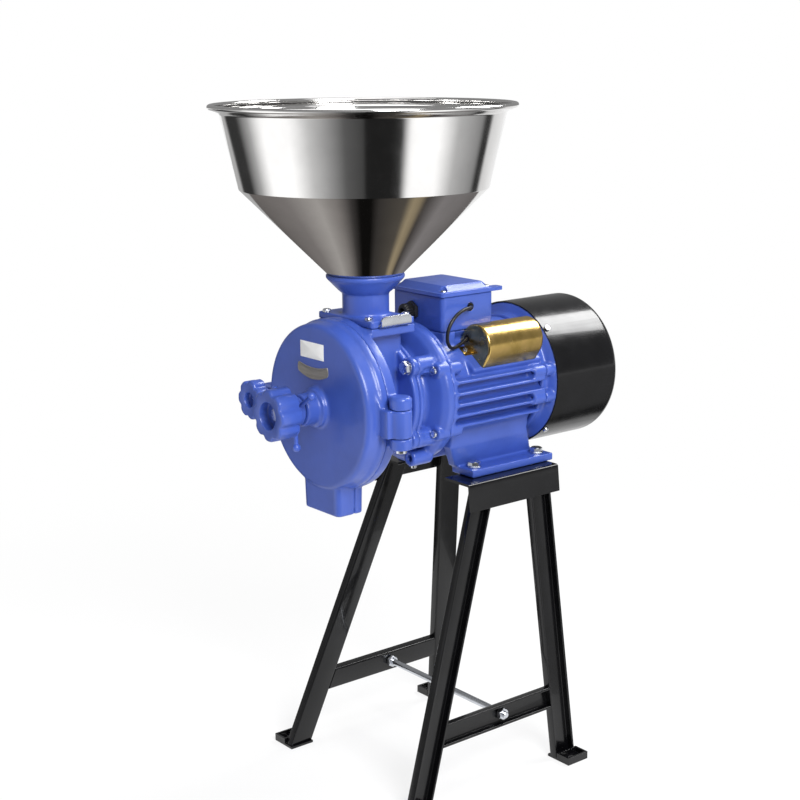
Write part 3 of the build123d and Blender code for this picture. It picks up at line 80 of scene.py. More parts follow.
FAN_SCREW_Y, FAN_SCREW_SEAT = 143.5, 85.7  # seat: distance from the shaft's line
CAPACITOR_TILT, CAPACITOR_FLANGE = 55.0, 66.5  # degrees from +X, distance from the shaft's line
CASING_BOLT_Y, FOOT_TOP, NECK_TOP = -61.0, 363.5, 547.7  # what those bolts' heads sit on
LID_UNDER, LID_THICK = 562.0, 4.0
COVER_FACE_Y = -145.0
HINGE_X, HINGE_Y = 108.0, -114.1
CLAMP_X, CLAMP_Z = -118.0, 441.0
# The cable gland is a real cable entry, but it is set on the box's front where that face lies in shade,
# so its black shape also stands for painted shade there.
GLAND_IN_SHADE = (-12.0, 0.0, 541.0)

# Which finish each solid has, as the record's material slots name it.
FINISH_OF = {
    "blue_enamel": (
        "adjusting_knob clamp_knob lock_nut lock_levers front_cover rear_casing feed_neck"
        " motor_frame front_end_bell rear_end_bell terminal_box terminal_box_lid"
    ),
    "black_enamel": (
        "left_front_leg right_front_leg left_rear_leg right_rear_leg left_top_bar right_top_bar"
        " left_crossbar right_crossbar foot_trays fan_cover"
    ),
    "polished_stainless": "hopper",
    "yellow_passivated_steel": "capacitor_cover",
    "zinc_plated_steel": (
        "bell_screws capacitor_screws casing_bolts disc_screws fan_cover_screws foot_bolts hex_nuts"
        " hinge_pin lid_screws neck_bolts tie_rod gate_plate adjusting_screw clamp_screw"
        " clamp_washer"
    ),
    "machined_steel": (
        "motor_shaft bearing_balls bearing_inner_rings bearing_outer_rings thrust_ball disc_spring"
    ),
    "white_cast_iron": "fixed_disc moving_disc feed_auger",
    "electrical_steel": "stator_core rotor",
    "copper_windings": "stator_windings terminal_studs",
    "black_moulding": "cooling_fan terminal_board cable_gland",
    "capacitor_case": "capacitor",
    "nameplate_foil": "cover_nameplate",
    "black_rubber": "capacitor_lead lead_grommets shaft_seal",
}
SLOT_OF = {node: slot for slot, nodes in FINISH_OF.items() for node in nodes.split()}
BODY_OF = {
    node: body
    for body, nodes in frame["record"]["behaviour"]["bodies"].items()
    for node in nodes
}


def linear(hex_colour):
    """An sRGB hex colour as the linear RGBA that a node socket takes."""
    channels = (int(hex_colour[i : i + 2], 16) / 255 for i in (1, 3, 5))
    return (*(c / 12.92 if c <= 0.04045 else ((c + 0.055) / 1.055) ** 2.4 for c in channels), 1.0)


# ---- sizes and colours that a user would change ---------------------------------------


def length(name, description, default):
    """A length in metres that a user may change."""
    return bpy.props.FloatProperty(
        name=name, description=description, default=default, min=0.0, subtype="DISTANCE", unit="LENGTH"
    )


def colour(name, description, hex_colour):
    """A colour that a user may change."""
    return bpy.props.FloatVectorProperty(
        name=name,
        description=description,
        default=linear(hex_colour)[:3],
        min=0.0,
        max=1.0,
        size=3,
        subtype="COLOR",
    )


class GrainMillSizes(bpy.types.PropertyGroup):
    """Sizes of the dressed surfaces, in metres."""

    cast_grid: length("Casting grid", "Spacing of the points on the castings", 0.0014)
    sheet_edge: length("Sheet edge", "Rounding of the folded sheet's edges", 0.0006)
    hopper_wall: length("Hopper wall", "Thickness of the spun hopper", 0.001)
    rim_roll: length("Rim roll", "Radius of the hopper's rolled rim", 0.0028)
    flute_depth: length("Flute depth", "Depth of the adjusting knob's flutes", 0.0036)
    screw_pitch: length("Screw pitch", "Pitch of the adjusting screw and the clamp screw", 0.002)
    lead_diameter: length("Lead diameter", "Outside of the capacitor's lead", 0.004)


class GrainMillColours(bpy.types.PropertyGroup):
    """Colours of the finishes."""

    enamel: colour("Enamel", "Blue of the castings", "#3B55AA")
    black: colour("Black", "Black of the stand and fan cover", "#08080A")
    gold: colour("Passivation", "Gold of the capacitor's cover", "#C9AB66")
    label: colour("Label", "White of the blank label on the cover", "#FAFAF8")
    floor: colour("Floor", "Studio floor", "#F4F4F4")


# ---- finishes ---------------------------------------------------------------------------


def add_node(tree, kind, inputs=(), stops=(), **settings):
    """Adds a node, sets its properties, fills its inputs with values or links, and gives a colour
    ramp its stops, each (position, RGBA)."""
    node = tree.nodes.new(kind)
    for name, value in settings.items():
        setattr(node, name, value)
    for name, value in dict(inputs).items():
        if isinstance(value, bpy.types.NodeSocket):
            tree.links.new(value, node.inputs[name])
        else:
            node.inputs[name].default_value = value
    if stops:
        elements = node.color_ramp.elements
        elements[0].position, elements[1].position = stops[0][0], stops[-1][0]
        for position, _ in stops[1:-1]:
            elements.new(position)
        for element, (_, value) in zip(elements, stops):
            element.color = value
    return node


def empty_material(name):
    """A material with nothing in its node tree yet: (material, node tree)."""
    material = bpy.data.materials.new(name)
    material.use_nodes = True
    material.node_tree.nodes.clear()
    return material, material.node_tree


def new_finish(name, **sockets):
    """A material with one Principled shader: (material, node tree, shader)."""
    material, tree = empty_material(name)
    values = {socket.replace("_", " "): value for socket, value in sockets.items()}
    shader = add_node(tree, "ShaderNodeBsdfPrincipled", values)
    add_node(tree, "ShaderNodeOutputMaterial", {"Surface": shader.outputs["BSDF"]})
    return material, tree, shader


def object_noise(tree, size_mm, detail=2.0, stretch=(1, 1, 1)):
    """Noise on Object coordinates whose features are about size_mm across."""
    where = add_node(tree, "ShaderNodeTexCoord").outputs["Object"]
    mapped = add_node(tree, "ShaderNodeMapping", {"Vector": where, "Scale": stretch})
    pattern = {"Vector": mapped.outputs["Vector"], "Scale": 1.0 / (size_mm * MM), "Detail": detail}
    return add_node(tree, "ShaderNodeTexNoise", pattern).outputs["Fac"]


def tinted(value, factor):
    """A linear RGBA made lighter or darker by a factor."""
    return (*(min(c * factor, 1.0) for c in value[:3]), 1.0)


def clouded(tree, shader, base, size_mm, spread):
    """Slow clouds in the base colour, lighter and darker by a share of it."""
    stops = [(0.32, tinted(base, 1 - spread)), (0.68, tinted(base, 1 + spread))]
    cloud = add_node(tree, "ShaderNodeValToRGB", {"Fac": object_noise(tree, size_mm)}, stops)
    tree.links.new(cloud.outputs["Color"], shader.inputs["Base Color"])


def uneven_gloss(tree, shader, size_mm, low, high):
    """Roughness that drifts between two values."""
    reach = {"From Min": 0.3, "From Max": 0.7, "To Min": low, "To Max": high}
    reach["Value"] = object_noise(tree, size_mm)
    patches = add_node(tree, "ShaderNodeMapRange", reach)
    tree.links.new(patches.outputs["Result"], shader.inputs["Roughness"])


def relief(tree, shader, *layers):
    """Bumps one over the other, each (height socket, real height in mm, strength)."""
    normal = None
    for height, distance_mm, strength in layers:
        inputs = {"Height": height, "Distance": distance_mm * MM, "Strength": strength}
        if normal is not None:
            inputs["Normal"] = normal
        normal = add_node(tree, "ShaderNodeBump", inputs).outputs["Normal"]
    tree.links.new(normal, shader.inputs["Normal"])


def blue_enamel(colours):
    """Stoved gloss enamel on sand-cast iron: a deep blue whose shine breaks up over the sandy skin
    under it. The sand grain, really 0.3 mm, is drawn 1.6 mm across so that it shows; the enamel
    itself pools in waves 7 mm across."""
    material, tree, shader = new_finish(
        "stoved_blue_enamel", Specular_IOR_Level=0.45, Coat_Weight=0.2, Coat_Roughness=0.1
    )
    clouded(tree, shader, (*colours.enamel, 1.0), 38.0, 0.07)
    uneven_gloss(tree, shader, 24.0, 0.3, 0.4)
    waves, sand = object_noise(tree, 7.0, 1.0), object_noise(tree, 1.6)
    relief(tree, shader, (waves, 0.18, 0.6), (sand, 0.1, 0.6))
    return material


def black_enamel(colours):
    """Gloss black baked enamel on folded sheet: nearly black, with a clean shine and a faint
    orange peel 2 mm across."""
    material, tree, shader = new_finish("baked_black_enamel", Specular_IOR_Level=0.3, Coat_Weight=0.22)
    clouded(tree, shader, (*colours.black, 1.0), 25.0, 0.3)
    uneven_gloss(tree, shader, 18.0, 0.16, 0.24)
    relief(tree, shader, (object_noise(tree, 2.0, 1.0), 0.012, 0.4))
    return material


def bare_metal(name, hex_colour, roughness, spread, grain_mm, height_mm, stretch=(1, 1, 1)):
    """A metal with a cloudy colour, uneven polish and a surface grain of the given size."""
    material, tree, shader = new_finish(name, Metallic=1.0)
    clouded(tree, shader, linear(hex_colour), grain_mm * 5, spread)
    uneven_gloss(tree, shader, grain_mm * 4, roughness * 0.8, roughness * 1.25)
    relief(tree, shader, (object_noise(tree, grain_mm, 2.0, stretch), height_mm, 0.6))
    return material


def polished_stainless(colours):
    """Spun stainless steel, buffed: a mirror with fine level spinning lines, really 0.2 mm apart
    and drawn about 5 mm apart so that they show."""
    lines = {"grain_mm": 5.0, "height_mm": 0.003, "stretch": (0.02, 0.02, 1.0)}
    return bare_metal("spun_stainless", "#E2E1E0", roughness=0.1, spread=0.03, **lines)


def zinc_plated_steel(colours):
    """Bright zinc plate on turned and pressed steel: pale grey with a faint mottle 3 mm across."""
    mottle = {"grain_mm": 3.0, "height_mm": 0.002}
    return bare_metal("bright_zinc_plate", "#CDD0D6", roughness=0.24, spread=0.05, **mottle)


def machined_steel(colours):
    """Turned and ground steel: cooler and smoother than the plated pieces. Its grinding marks,
    really 0.1 mm across, are drawn 0.8 mm across so that they show."""
    marks = {"grain_mm": 0.8, "height_mm": 0.005}
    return bare_metal("ground_steel", "#B9BBBE", roughness=0.22, spread=0.05, **marks)


def white_cast_iron(colours):
    """Chilled cast iron as cast: mid grey, dull, with a sandy skin whose grains, really 0.3 mm, are
    drawn 1.5 mm across so that they show."""
    sand = {"grain_mm": 1.5, "height_mm": 0.06}
    return bare_metal("chilled_cast_iron", "#8B8A87", roughness=0.5, spread=0.12, **sand)


def electrical_steel(colours):
    """Stacked silicon-steel sheets: dull blue-grey with a lamination line every half millimetre,
    drawn about 2 mm apart so that it shows."""
    sheets = {"grain_mm": 2.0, "height_mm": 0.05, "stretch": (0.05, 1.0, 0.05)}
    return bare_metal("laminated_silicon_steel", "#77797D", roughness=0.45, spread=0.1, **sheets)


def copper_windings(colours):
    """Varnished copper wire: reddish, with the wires' ridges about 1.5 mm apart."""
    wires = {"grain_mm": 1.5, "height_mm": 0.12, "stretch": (0.3, 1.0, 0.3)}
    return bare_metal("varnished_copper", "#A85A34", roughness=0.35, spread=0.15, **wires)


def capacitor_case(colours):
    """Drawn aluminium can: pale and smooth, with a faint draw grain along it."""
    grain = {"grain_mm": 1.5, "height_mm": 0.01, "stretch": (1.0, 0.1, 1.0)}
    return bare_metal("drawn_aluminium_can", "#BFC0C2", roughness=0.35, spread=0.05, **grain)


def yellow_passivated_steel(colours):
    """Zinc plate with yellow chromate passivation: satin brass-gold, with slow greenish and rosy
    clouds 18 mm across."""
    material, tree, shader = new_finish("yellow_chromate_steel", Metallic=1.0)
    red, green, blue = colours.gold
    greenish = (red * 0.8, green * 0.78, blue * 0.66, 1.0)
    rosy = (min(red * 1.12, 1.0), green * 1.08, blue * 1.2, 1.0)
    stops = [(0.3, greenish), (0.5, (red, green, blue, 1.0)), (0.72, rosy)]
    cloud = add_node(tree, "ShaderNodeValToRGB", {"Fac": object_noise(tree, 18.0)}, stops)
    tree.links.new(cloud.outputs["Color"], shader.inputs["Base Color"])
    uneven_gloss(tree, shader, 14.0, 0.2, 0.28)
    relief(tree, shader, (object_noise(tree, 1.5, 1.0), 0.004, 0.4))
    return material


def nameplate_foil(colours):
    """Etched aluminium foil, left blank: a flat warm grey with a level brushed grain, really 0.1 mm
    apart and drawn 2 mm apart so that it shows."""
    material, tree, shader = new_finish("etched_foil", IOR=1.5, Metallic=0.3)
    grain, base = object_noise(tree, 2.0, 3.0, (0.05, 1.0, 1.0)), linear("#86827C")
    stops = [(0.3, tinted(base, 0.88)), (0.7, tinted(base, 1.1))]
    brushed = add_node(tree, "ShaderNodeValToRGB", {"Fac": grain}, stops)
    tree.links.new(brushed.outputs["Color"], shader.inputs["Base Color"])
    uneven_gloss(tree, shader, 9.0, 0.38, 0.5)
    relief(tree, shader, (grain, 0.01, 0.4))
    return material


def coloured_skin(name, base, roughness, grain_mm, height_mm, spread=0.12):
    """A plastic, rubber or print with a cloudy colour and a fine grain."""
    material, tree, shader = new_finish(name, IOR=1.48)
    clouded(tree, shader, base, grain_mm * 4, spread)
    uneven_gloss(tree, shader, grain_mm * 6, roughness * 0.85, roughness * 1.15)
    relief(tree, shader, (object_noise(tree, grain_mm, 2.0), height_mm, 0.6))
    return material


def black_moulding(colours):
    """Spark-textured black nylon: dull black with an even grain, really 0.1 mm and drawn 0.8 mm
    across so that it shows."""
    black = linear("#141416")
    return coloured_skin("black_nylon", black, roughness=0.5, grain_mm=0.8, height_mm=0.03)


def black_rubber(colours):
    """Soft black PVC and rubber: dark, slightly dusty, with a faint unevenness 1.5 mm across."""
    black = linear("#101012")
    return coloured_skin("black_rubber_sleeve", black, roughness=0.42, grain_mm=1.5, height_mm=0.02)


def label_vinyl(colours):
    """White self-adhesive vinyl, left blank: clean, slightly soft, with a ripple 3 mm across."""
    ripple = {"grain_mm": 3.0, "height_mm": 0.005}
    return coloured_skin("white_vinyl", (*colours.label, 1.0), roughness=0.5, spread=0.04, **ripple)


FINISH_MAKERS = {
    maker.__name__: maker
    for maker in (
        blue_enamel, black_enamel, polished_stainless, zinc_plated_steel, machined_steel,
        white_cast_iron, electrical_steel, copper_windings, capacitor_case,
        yellow_passivated_steel, nameplate_foil, black_moulding, black_rubber, label_vinyl,
    )
}
MADE_FINISHES = {}


def finish_for(slot, context):
    """The material of a finish, made the first time that it is asked for."""
    if slot not in MADE_FINISHES:
        MADE_FINISHES[slot] = FINISH_MAKERS[slot](context.scene.grain_mill_colours)
    return MADE_FINISHES[slot]


# ---- surfaces ---------------------------------------------------------------------------


def in_scene(name, data):
    """A new object with the given data, linked to the scene."""
    made = bpy.data.objects.new(name, data)
    bpy.context.scene.collection.objects.link(made)
    return made


def grid_faces(rows, columns, first, wrap_rows, wrap_columns):
    """Quads of a grid of points as an (n, 4) array of vertex numbers: corner (i, j) joins
    (i, j+1), (i+1, j+1) and (i+1, j), and the last row or column meets the first if it wraps."""
    i = np.arange(rows if wrap_rows else rows - 1)
    j = np.arange(columns if wrap_columns else columns - 1)
    i, j = np.meshgrid(i, j, indexing="ij")
    i2, j2 = (i + 1) % rows, (j + 1) % columns
    corners = [i * columns + j, i * columns + j2, i2 * columns + j2, i2 * columns + j]
    return first + np.stack([c.ravel() for c in corners], axis=1)


def surface(name, sheets, sharp_deg=38.0):
    """A closed mesh from sheets of points in millimetres, each (points[rows, columns, 3], how the
    rows end). Rows end in a "loop", where the last meets the first, in "poles", where they have
    shrunk to a point, or in "flats", one flat face each. Columns always meet round."""
    points, corners, sizes, count = [], [], [], 0
    for grid, ends in sheets:
        rows, columns = grid.shape[:2]
        quads = grid_faces(rows, columns, count, ends == "loop", True)
        corners.append(quads.ravel())
        sizes.append(np.full(len(quads), 4))
        if ends == "flats":
            corners.append(count + np.arange(columns)[::-1])
            corners.append(count + (rows - 1) * columns + np.arange(columns))
            sizes.append(np.full(2, columns))
        points.append(grid.reshape(-1, 3))
        count += rows * columns
    corners, sizes = np.concatenate(corners), np.concatenate(sizes)
    mesh = bpy.data.meshes.new(name)
    mesh.vertices.add(count)
    mesh.vertices.foreach_set("co", (np.concatenate(points) * MM).astype(np.float32).ravel())
    mesh.loops.add(len(corners))
    mesh.loops.foreach_set("vertex_index", corners.astype(np.int32))
    mesh.polygons.add(len(sizes))
    mesh.polygons.foreach_set("loop_start", (np.cumsum(sizes) - sizes).astype(np.int32))
    mesh.update(calc_edges=True)
    return tidy_mesh(name, mesh, sharp_deg)


def tidy_mesh(name, mesh, sharp_deg, flatten_deg=None):
    """Merges doubles, turns the faces outwards, shades smooth and marks corners sharp."""
    shape = bmesh.new()
    shape.from_mesh(mesh)
    bmesh.ops.remove_doubles(shape, verts=shape.verts, dist=2e-6)
    bmesh.ops.dissolve_degenerate(shape, edges=shape.edges, dist=1e-6)
    if flatten_deg is not None:
        bmesh.ops.dissolve_limit(
            shape, angle_limit=math.radians(flatten_deg), verts=shape.verts, edges=shape.edges
        )
    bmesh.ops.recalc_face_normals(shape, faces=shape.faces)
    shape.to_mesh(mesh)
    shape.free()
    mesh.polygons.foreach_set("use_smooth", np.ones(len(mesh.polygons), bool))
    mesh.set_sharp_from_angle(angle=math.radians(sharp_deg))
    return in_scene(name, mesh)


def rounded(corners, closed=False, steps=5):
    """A 2-D outline whose corner k, given as (a, b) or (a, b, radius), is an arc that touches
    both of its sides: the arc starts r / tan(half the corner's angle) from the corner."""
    points = []
    count = len(corners)
    for k, corner in enumerate(corners):
        here = np.array(corner[:2], float)
        radius = corner[2] if len(corner) > 2 else 0.0
        if radius <= 0 or (not closed and k in (0, count - 1)):
            points.append(here)
            continue
        before = np.array(corners[k - 1][:2], float) - here
        after = np.array(corners[(k + 1) % count][:2], float) - here
        before /= np.linalg.norm(before)
        after /= np.linalg.norm(after)
        half = math.acos(float(np.clip(before @ after, -1, 1))) / 2
        centre = here + (before + after) / np.linalg.norm(before + after) * radius / math.sin(half)
        start = here + before * radius / math.tan(half) - centre
        end = here + after * radius / math.tan(half) - centre
        turn = math.acos(float(np.clip(start @ end / radius**2, -1, 1)))
        share = np.linspace(0, 1, steps + 1)[:, None]
        weights = np.sin((1 - share) * turn), np.sin(share * turn)
        points.extend((weights[0] * start + weights[1] * end) / math.sin(turn) + centre)
    return np.array(points)


def turned(rows, centre, axis, outline=None, columns=96):
    """Rows of (along, radius) or (along, radius, share) turned about an axis: at angle t a row's
    point is radius * (1 + share * (outline(t) - 1)) from the axis, so a share of 0 is round and a
    share of 1 follows the outline."""
    rows = np.array([(*row, 0.0)[:3] for row in rows], float)
    axis = np.array(axis, float)
    side = np.cross(axis, UP if abs(axis[2]) < 0.9 else RIGHT)
    side /= np.linalg.norm(side)
    other = np.cross(axis, side)
    t = np.linspace(0, 2 * math.pi, columns, endpoint=False)
    ring = np.cos(t)[:, None] * side + np.sin(t)[:, None] * other
    shape = np.ones(columns) if outline is None else outline(t)
    radius = rows[:, 1, None] * (1 + rows[:, 2, None] * (shape - 1))
    along = rows[:, 0, None, None] * axis
    return along + radius[..., None] * ring[None] + np.array(centre, float)


def hexagon(t):
    """1 at the middle of each flat and 1 / cos 30 at each corner: one over the cosine of the angle
    from the nearest flat's middle."""
    return 1 / np.cos((t + math.pi / 6) % (math.pi / 3) - math.pi / 6)


def lobes(count, depth):
    """Wide lobes with narrow flutes: 1.02 less the depth times a raised cosine to the power 2.5."""
    return lambda t: 1.02 - depth * ((1 - np.cos(count * t)) / 2) ** 2.5


def recess(half_width, arms):
    """A driver's slot or cross with arms 1 long: each arm reaches the lesser of 1 / cos t and its
    half width / sin t, and the farther of the two arms counts."""

    def reach(t):
        across, up = np.abs(np.cos(t)) + 1e-6, np.abs(np.sin(t)) + 1e-6
        first = np.minimum(1 / across, half_width / up)
        return first if arms == 1 else np.maximum(first, np.minimum(1 / up, half_width / across))

    return reach


def thread(start, end, radius, pitch, centre, axis, columns):
    """A screw thread: at height s and angle t the radius falls by 0.55 pitch times a triangle wave
    of s / pitch - t / 360, and both ends run out in a cone."""
    along = np.linspace(start, end, int((end - start) / pitch * 8))
    t = np.linspace(0, 2 * math.pi, columns, endpoint=False)
    phase = along[:, None] / pitch - t[None] / (2 * math.pi)
    depth = 0.55 * pitch * 2 * np.abs(phase % 1.0 - 0.5)
    to_end = np.minimum(along - start, end - along)[:, None]
    radius = np.minimum(radius - depth, radius - 0.55 * pitch + to_end)
    sheet = turned(np.column_stack([along, np.ones(len(along))]), (0, 0, 0), axis, columns=columns)
    spine = along[:, None, None] * np.array(axis, float)
    sheet = spine + (sheet - spine) * radius[..., None] + np.array(centre, float)
    poles = [np.broadcast_to(sheet[k].mean(axis=0), (1, columns, 3)) for k in (0, -1)]
    return np.concatenate([poles[0], sheet, poles[1]])


def dress(piece, context, body, slot, *nodes, finish=None):
    """Gives a piece its finish, puts it on its body, and lets it stand for its solids."""
    piece.data.materials.clear()
    piece.data.materials.append(finish_for(finish or slot, context))
    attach(piece, body)
    if nodes:
        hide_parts(*nodes)
    return piece


def dress_node(node, piece, context):
    """Lets a piece stand for one solid, with that solid's body and finish."""
    return dress(piece, context, BODY_OF[node], SLOT_OF[node], node)


def merged_copy(node, name, flatten_deg=None, sharp_deg=38.0):
    """A copy of a solid's triangles with shared points, flat faces joined again if asked."""
    mesh = frame["nodes"][node].data.copy()
    mesh.name = name
    return tidy_mesh(name, mesh, sharp_deg, flatten_deg)


def apply_modifiers(piece):
    """Replaces a piece's mesh by what its modifiers make of it."""
    graph = bpy.context.evaluated_depsgraph_get()
    made = bpy.data.meshes.new_from_object(piece.evaluated_get(graph))
    piece.modifiers.clear()
    piece.data = made


def cast_piece(node, grid):
    """A casting's skin: the solid resampled on an even grid and relaxed, so that every corner
    has the soft edge that sand casting and enamel leave."""
    piece = merged_copy(node, node + "_casting")
    remesh = piece.modifiers.new("skin", "REMESH")
    remesh.mode, remesh.voxel_size, remesh.use_smooth_shade = "VOXEL", grid, True
    smooth = piece.modifiers.new("relax", "SMOOTH")
    smooth.factor, smooth.iterations = 0.5, 6
    apply_modifiers(piece)
    piece.data.polygons.foreach_set("use_smooth", np.ones(len(piece.data.polygons), bool))
    return piece


def edged_piece(node, width):
    """Folded or pressed sheet: the solid with its flat faces whole again and a small rounding run
    along its edges."""
    sharp_deg = 30.0
    piece = merged_copy(node, node + "_finished", flatten_deg=1.0, sharp_deg=sharp_deg)
    bevel = piece.modifiers.new("edges", "BEVEL")
    bevel.width, bevel.segments, bevel.limit_method = width, 3, "ANGLE"
    bevel.angle_limit = math.radians(sharp_deg)
    bevel.harden_normals = True
    return piece


# ---- pieces -----------------------------------------------------------------------------


class MakerOperator:
    """What the maker operators share."""

    bl_options = {"REGISTER", "UNDO"}


CASTINGS = (
    "front_cover", "rear_casing", "feed_neck", "motor_frame", "front_end_bell", "rear_end_bell",
    "terminal_box",
)


class GRAINMILL_OT_castings(MakerOperator, bpy.types.Operator):
    """Enamelled castings: cover, casing, neck, motor frame, end bells, terminal box"""

    bl_idname = "grainmill.castings"
    bl_label = "Castings"

    def execute(self, context):
        grid = context.scene.grain_mill_sizes.cast_grid
        for node in CASTINGS:
            coarser = 1.18 if node == "motor_frame" else 1.0  # its fins have twice the others' area
            dress_node(node, cast_piece(node, grid * coarser), context)
        return {"FINISHED"}


class GRAINMILL_OT_hopper(MakerOperator, bpy.types.Operator):
    """Spun hopper: a spigot, a cone and a band with a rolled rim, turned about the feed line"""

    bl_idname = "grainmill.hopper"
    bl_label = "Hopper"

    def execute(self, context):
        sizes = context.scene.grain_mill_sizes
        wall, roll = sizes.hopper_wall / MM, sizes.rim_roll / MM
        # Corners are (z, radius, rounding). The rim is an arc of the roll's radius, from below its
        # middle round the outside to the inside, and the inside is the outside moved by the wall.
        rim_z, rim_r = 773.7, 163.9
        spigot = [(556.0, 20.2), (572.8, 20.2, 1.5)]
        cone = [(573.0, 22.0, 1.0), (686.4, 135.8, 2.0)]
        band = [(767.0, 154.3, 3.0), (rim_z - roll, rim_r)]
        outside = rounded(spigot + cone + band, steps=8)
        bend = np.linspace(-0.5, 1.25, 15) * math.pi
        rim = np.stack([rim_z + roll * np.sin(bend), rim_r + roll * np.cos(bend)], axis=1)
        slope = np.gradient(outside, axis=0)
        slope /= np.linalg.norm(slope, axis=1)[:, None]
        inside = outside + wall * np.stack([slope[:, 1], -slope[:, 0]], axis=1)
        rows = np.concatenate([outside[:-1], rim, inside[::-1]])
        sheet = turned(rows, (FEED_X, FEED_Y, 0.0), UP, columns=192)
        dress_node("hopper", surface("spun_hopper", [(sheet, "loop")]), context)
        return {"FINISHED"}


def channel(width):
    """The outline of a channel that is open at depth 0, as points (depth, across)."""
    web, far = CHANNEL - SHEET, width - SHEET
    outside = [(0, 0, EDGE_R), (CHANNEL, 0, FOLD_R), (CHANNEL, width, FOLD_R), (0, width, EDGE_R)]
    inside = [(0, far, EDGE_R), (web, far, EDGE_R), (web, SHEET, EDGE_R), (0, SHEET, EDGE_R)]
    return rounded(outside + inside, closed=True, steps=4)


def leg_sheet(side, foot, slope):
    """A leaning leg: at height z its section's point (depth, across) sits at
    x = side * (foot x - lean * z - depth * lean length), y = foot + slope * z + across."""
    depth, across = channel(LEG_WIDTH).T
    z = np.linspace(SHEET, STAND_TOP - SHEET, 12)[:, None]
    x = side * (FRAME_X - LEAN * z - LEAN_LENGTH * depth)
    return np.stack(np.broadcast_arrays(x, foot + slope * z + across, z), axis=2)


def crossbar_sheet(side):
    """A crossbar lying in the leaning plane between the legs: a point (depth, up) sits at
    x = side * (outer plane at that height - depth / lean length), z = up - lean * depth / lean
    length, and y runs from the front leg's edge to the rear leg's."""
    low, high = CROSSBAR_Z
    depth, up = channel(high - low).T
    z = low + up - LEAN * depth / LEAN_LENGTH
    x = side * (FRAME_X - LEAN * (low + up) - depth / LEAN_LENGTH)
    front = FRONT_LEG[0] + LEG_WIDTH + FRONT_LEG[1] * z
    rear = REAR_LEG[0] + REAR_LEG[1] * z
    y = front + np.linspace(0, 1, 8)[:, None] * (rear - front)
    return np.stack(np.broadcast_arrays(x, y, z), axis=2)


def top_bar_sheet(side):
    """An angle bar: a level shelf whose skirt hangs down along the lean, with its outside at
    x = side * (frame x - lean * z + skirt thickness)."""
    low, under = STAND_TOP - SKIRT_DROP, STAND_TOP - SHEET

    def outer(z):
        return FRAME_X - LEAN * z + SKIRT_T

    corners = [(BAR_INNER_X, under, EDGE_R), (outer(under) - SKIRT_T, under, 1.0)]
    corners += [(outer(low) - SKIRT_T, low, EDGE_R), (outer(low), low, EDGE_R)]
    corners += [(outer(STAND_TOP), STAND_TOP, 3.0), (BAR_INNER_X, STAND_TOP, EDGE_R)]
    x, z = rounded(corners, closed=True, steps=5).T
    y = np.linspace(*BAR_Y, 8)[:, None]
    return np.stack(np.broadcast_arrays(side * x, y, z), axis=2)


def four_places(middle, half):
    """The corners (a, b) of a rectangle, from its middle and half of each side."""
    return [(middle[0] + i * half[0], middle[1] + j * half[1]) for i in (-1, 1) for j in (-1, 1)]


FOOT_BOLT_PLACES = four_places((0.0, 85.0), (55.0, 49.0))


def nut_sheet(start, centre, axis, bore):
    """An 8 mm hexagon nut: a ring whose outside follows a hexagon between two chamfered faces."""
    a, c, thick = NUT_FLATS / 2, 0.16 * NUT_THICK, NUT_THICK
    rows = [(0, bore), (0, 0.94 * a), (c, a, 1), (thick - c, a, 1), (thick, 0.94 * a), (thick, bore)]
    rows = [(start + row[0], *row[1:]) for row in rows]
    return turned(rows, centre, axis, hexagon, 48), "loop"


class GRAINMILL_OT_stand(MakerOperator, bpy.types.Operator):
    """Folded stand: legs, crossbars and top bars, with the tie rod and the nuts"""

    bl_idname = "grainmill.stand"
    bl_label = "Stand"

    def execute(self, context):
        for hand, side in (("left", -1.0), ("right", 1.0)):
            made = {
                "front_leg": leg_sheet(side, *FRONT_LEG),
                "rear_leg": leg_sheet(side, *REAR_LEG),
                "crossbar": crossbar_sheet(side),
                "top_bar": top_bar_sheet(side),
            }
            for part, sheet in made.items():
                piece = surface(f"{hand}_{part}_fold", [(sheet, "flats")], 30.0)
                dress_node(f"{hand}_{part}", piece, context)
        rod_axis, end, r = (0, TIE_ROD_Y, TIE_ROD_Z), TIE_ROD_END, TIE_ROD_R
        rows = [(-end, 0), (-end, r - 0.8), (0.8 - end, r), (end - 0.8, r), (end, r - 0.8), (end, 0)]
        rod = turned(rows, rod_axis, RIGHT, columns=32)
        dress_node("tie_rod", surface("tie_rod_bar", [(rod, "poles")]), context)
        nuts = [nut_sheet(x, rod_axis, RIGHT, 3.95) for x in TIE_NUT_X]
        low = STAND_TOP - SHEET - NUT_THICK
        nuts += [nut_sheet(low, (x, y, 0), UP, 4.05) for x, y in FOOT_BOLT_PLACES]
        dress_node("hex_nuts", surface("hexagon_nuts", nuts), context)
        return {"FINISHED"}


def ray(degrees):
    """A unit vector square to the shaft, at an angle from +X towards +Z."""
    angle = math.radians(degrees)
    return math.cos(angle), 0.0, math.sin(angle)


# Heads and shanks that screws share, as hex_screw and pan_screw take them.
SMALL_HEX = {"flats": 8.0, "height": 3.5}
LARGE_HEX = {"flats": NUT_FLATS, "height": 5.4, "shank": 4.0, "washer": (1.6, 8.0)}
CROSS_PAN = {"height": 2.6, "shank": 1.9, "deep": 1.4, "arms": 2}
SLOT_PAN = {"height": 2.2, "shank": 1.85, "deep": 1.2, "arms": 1}


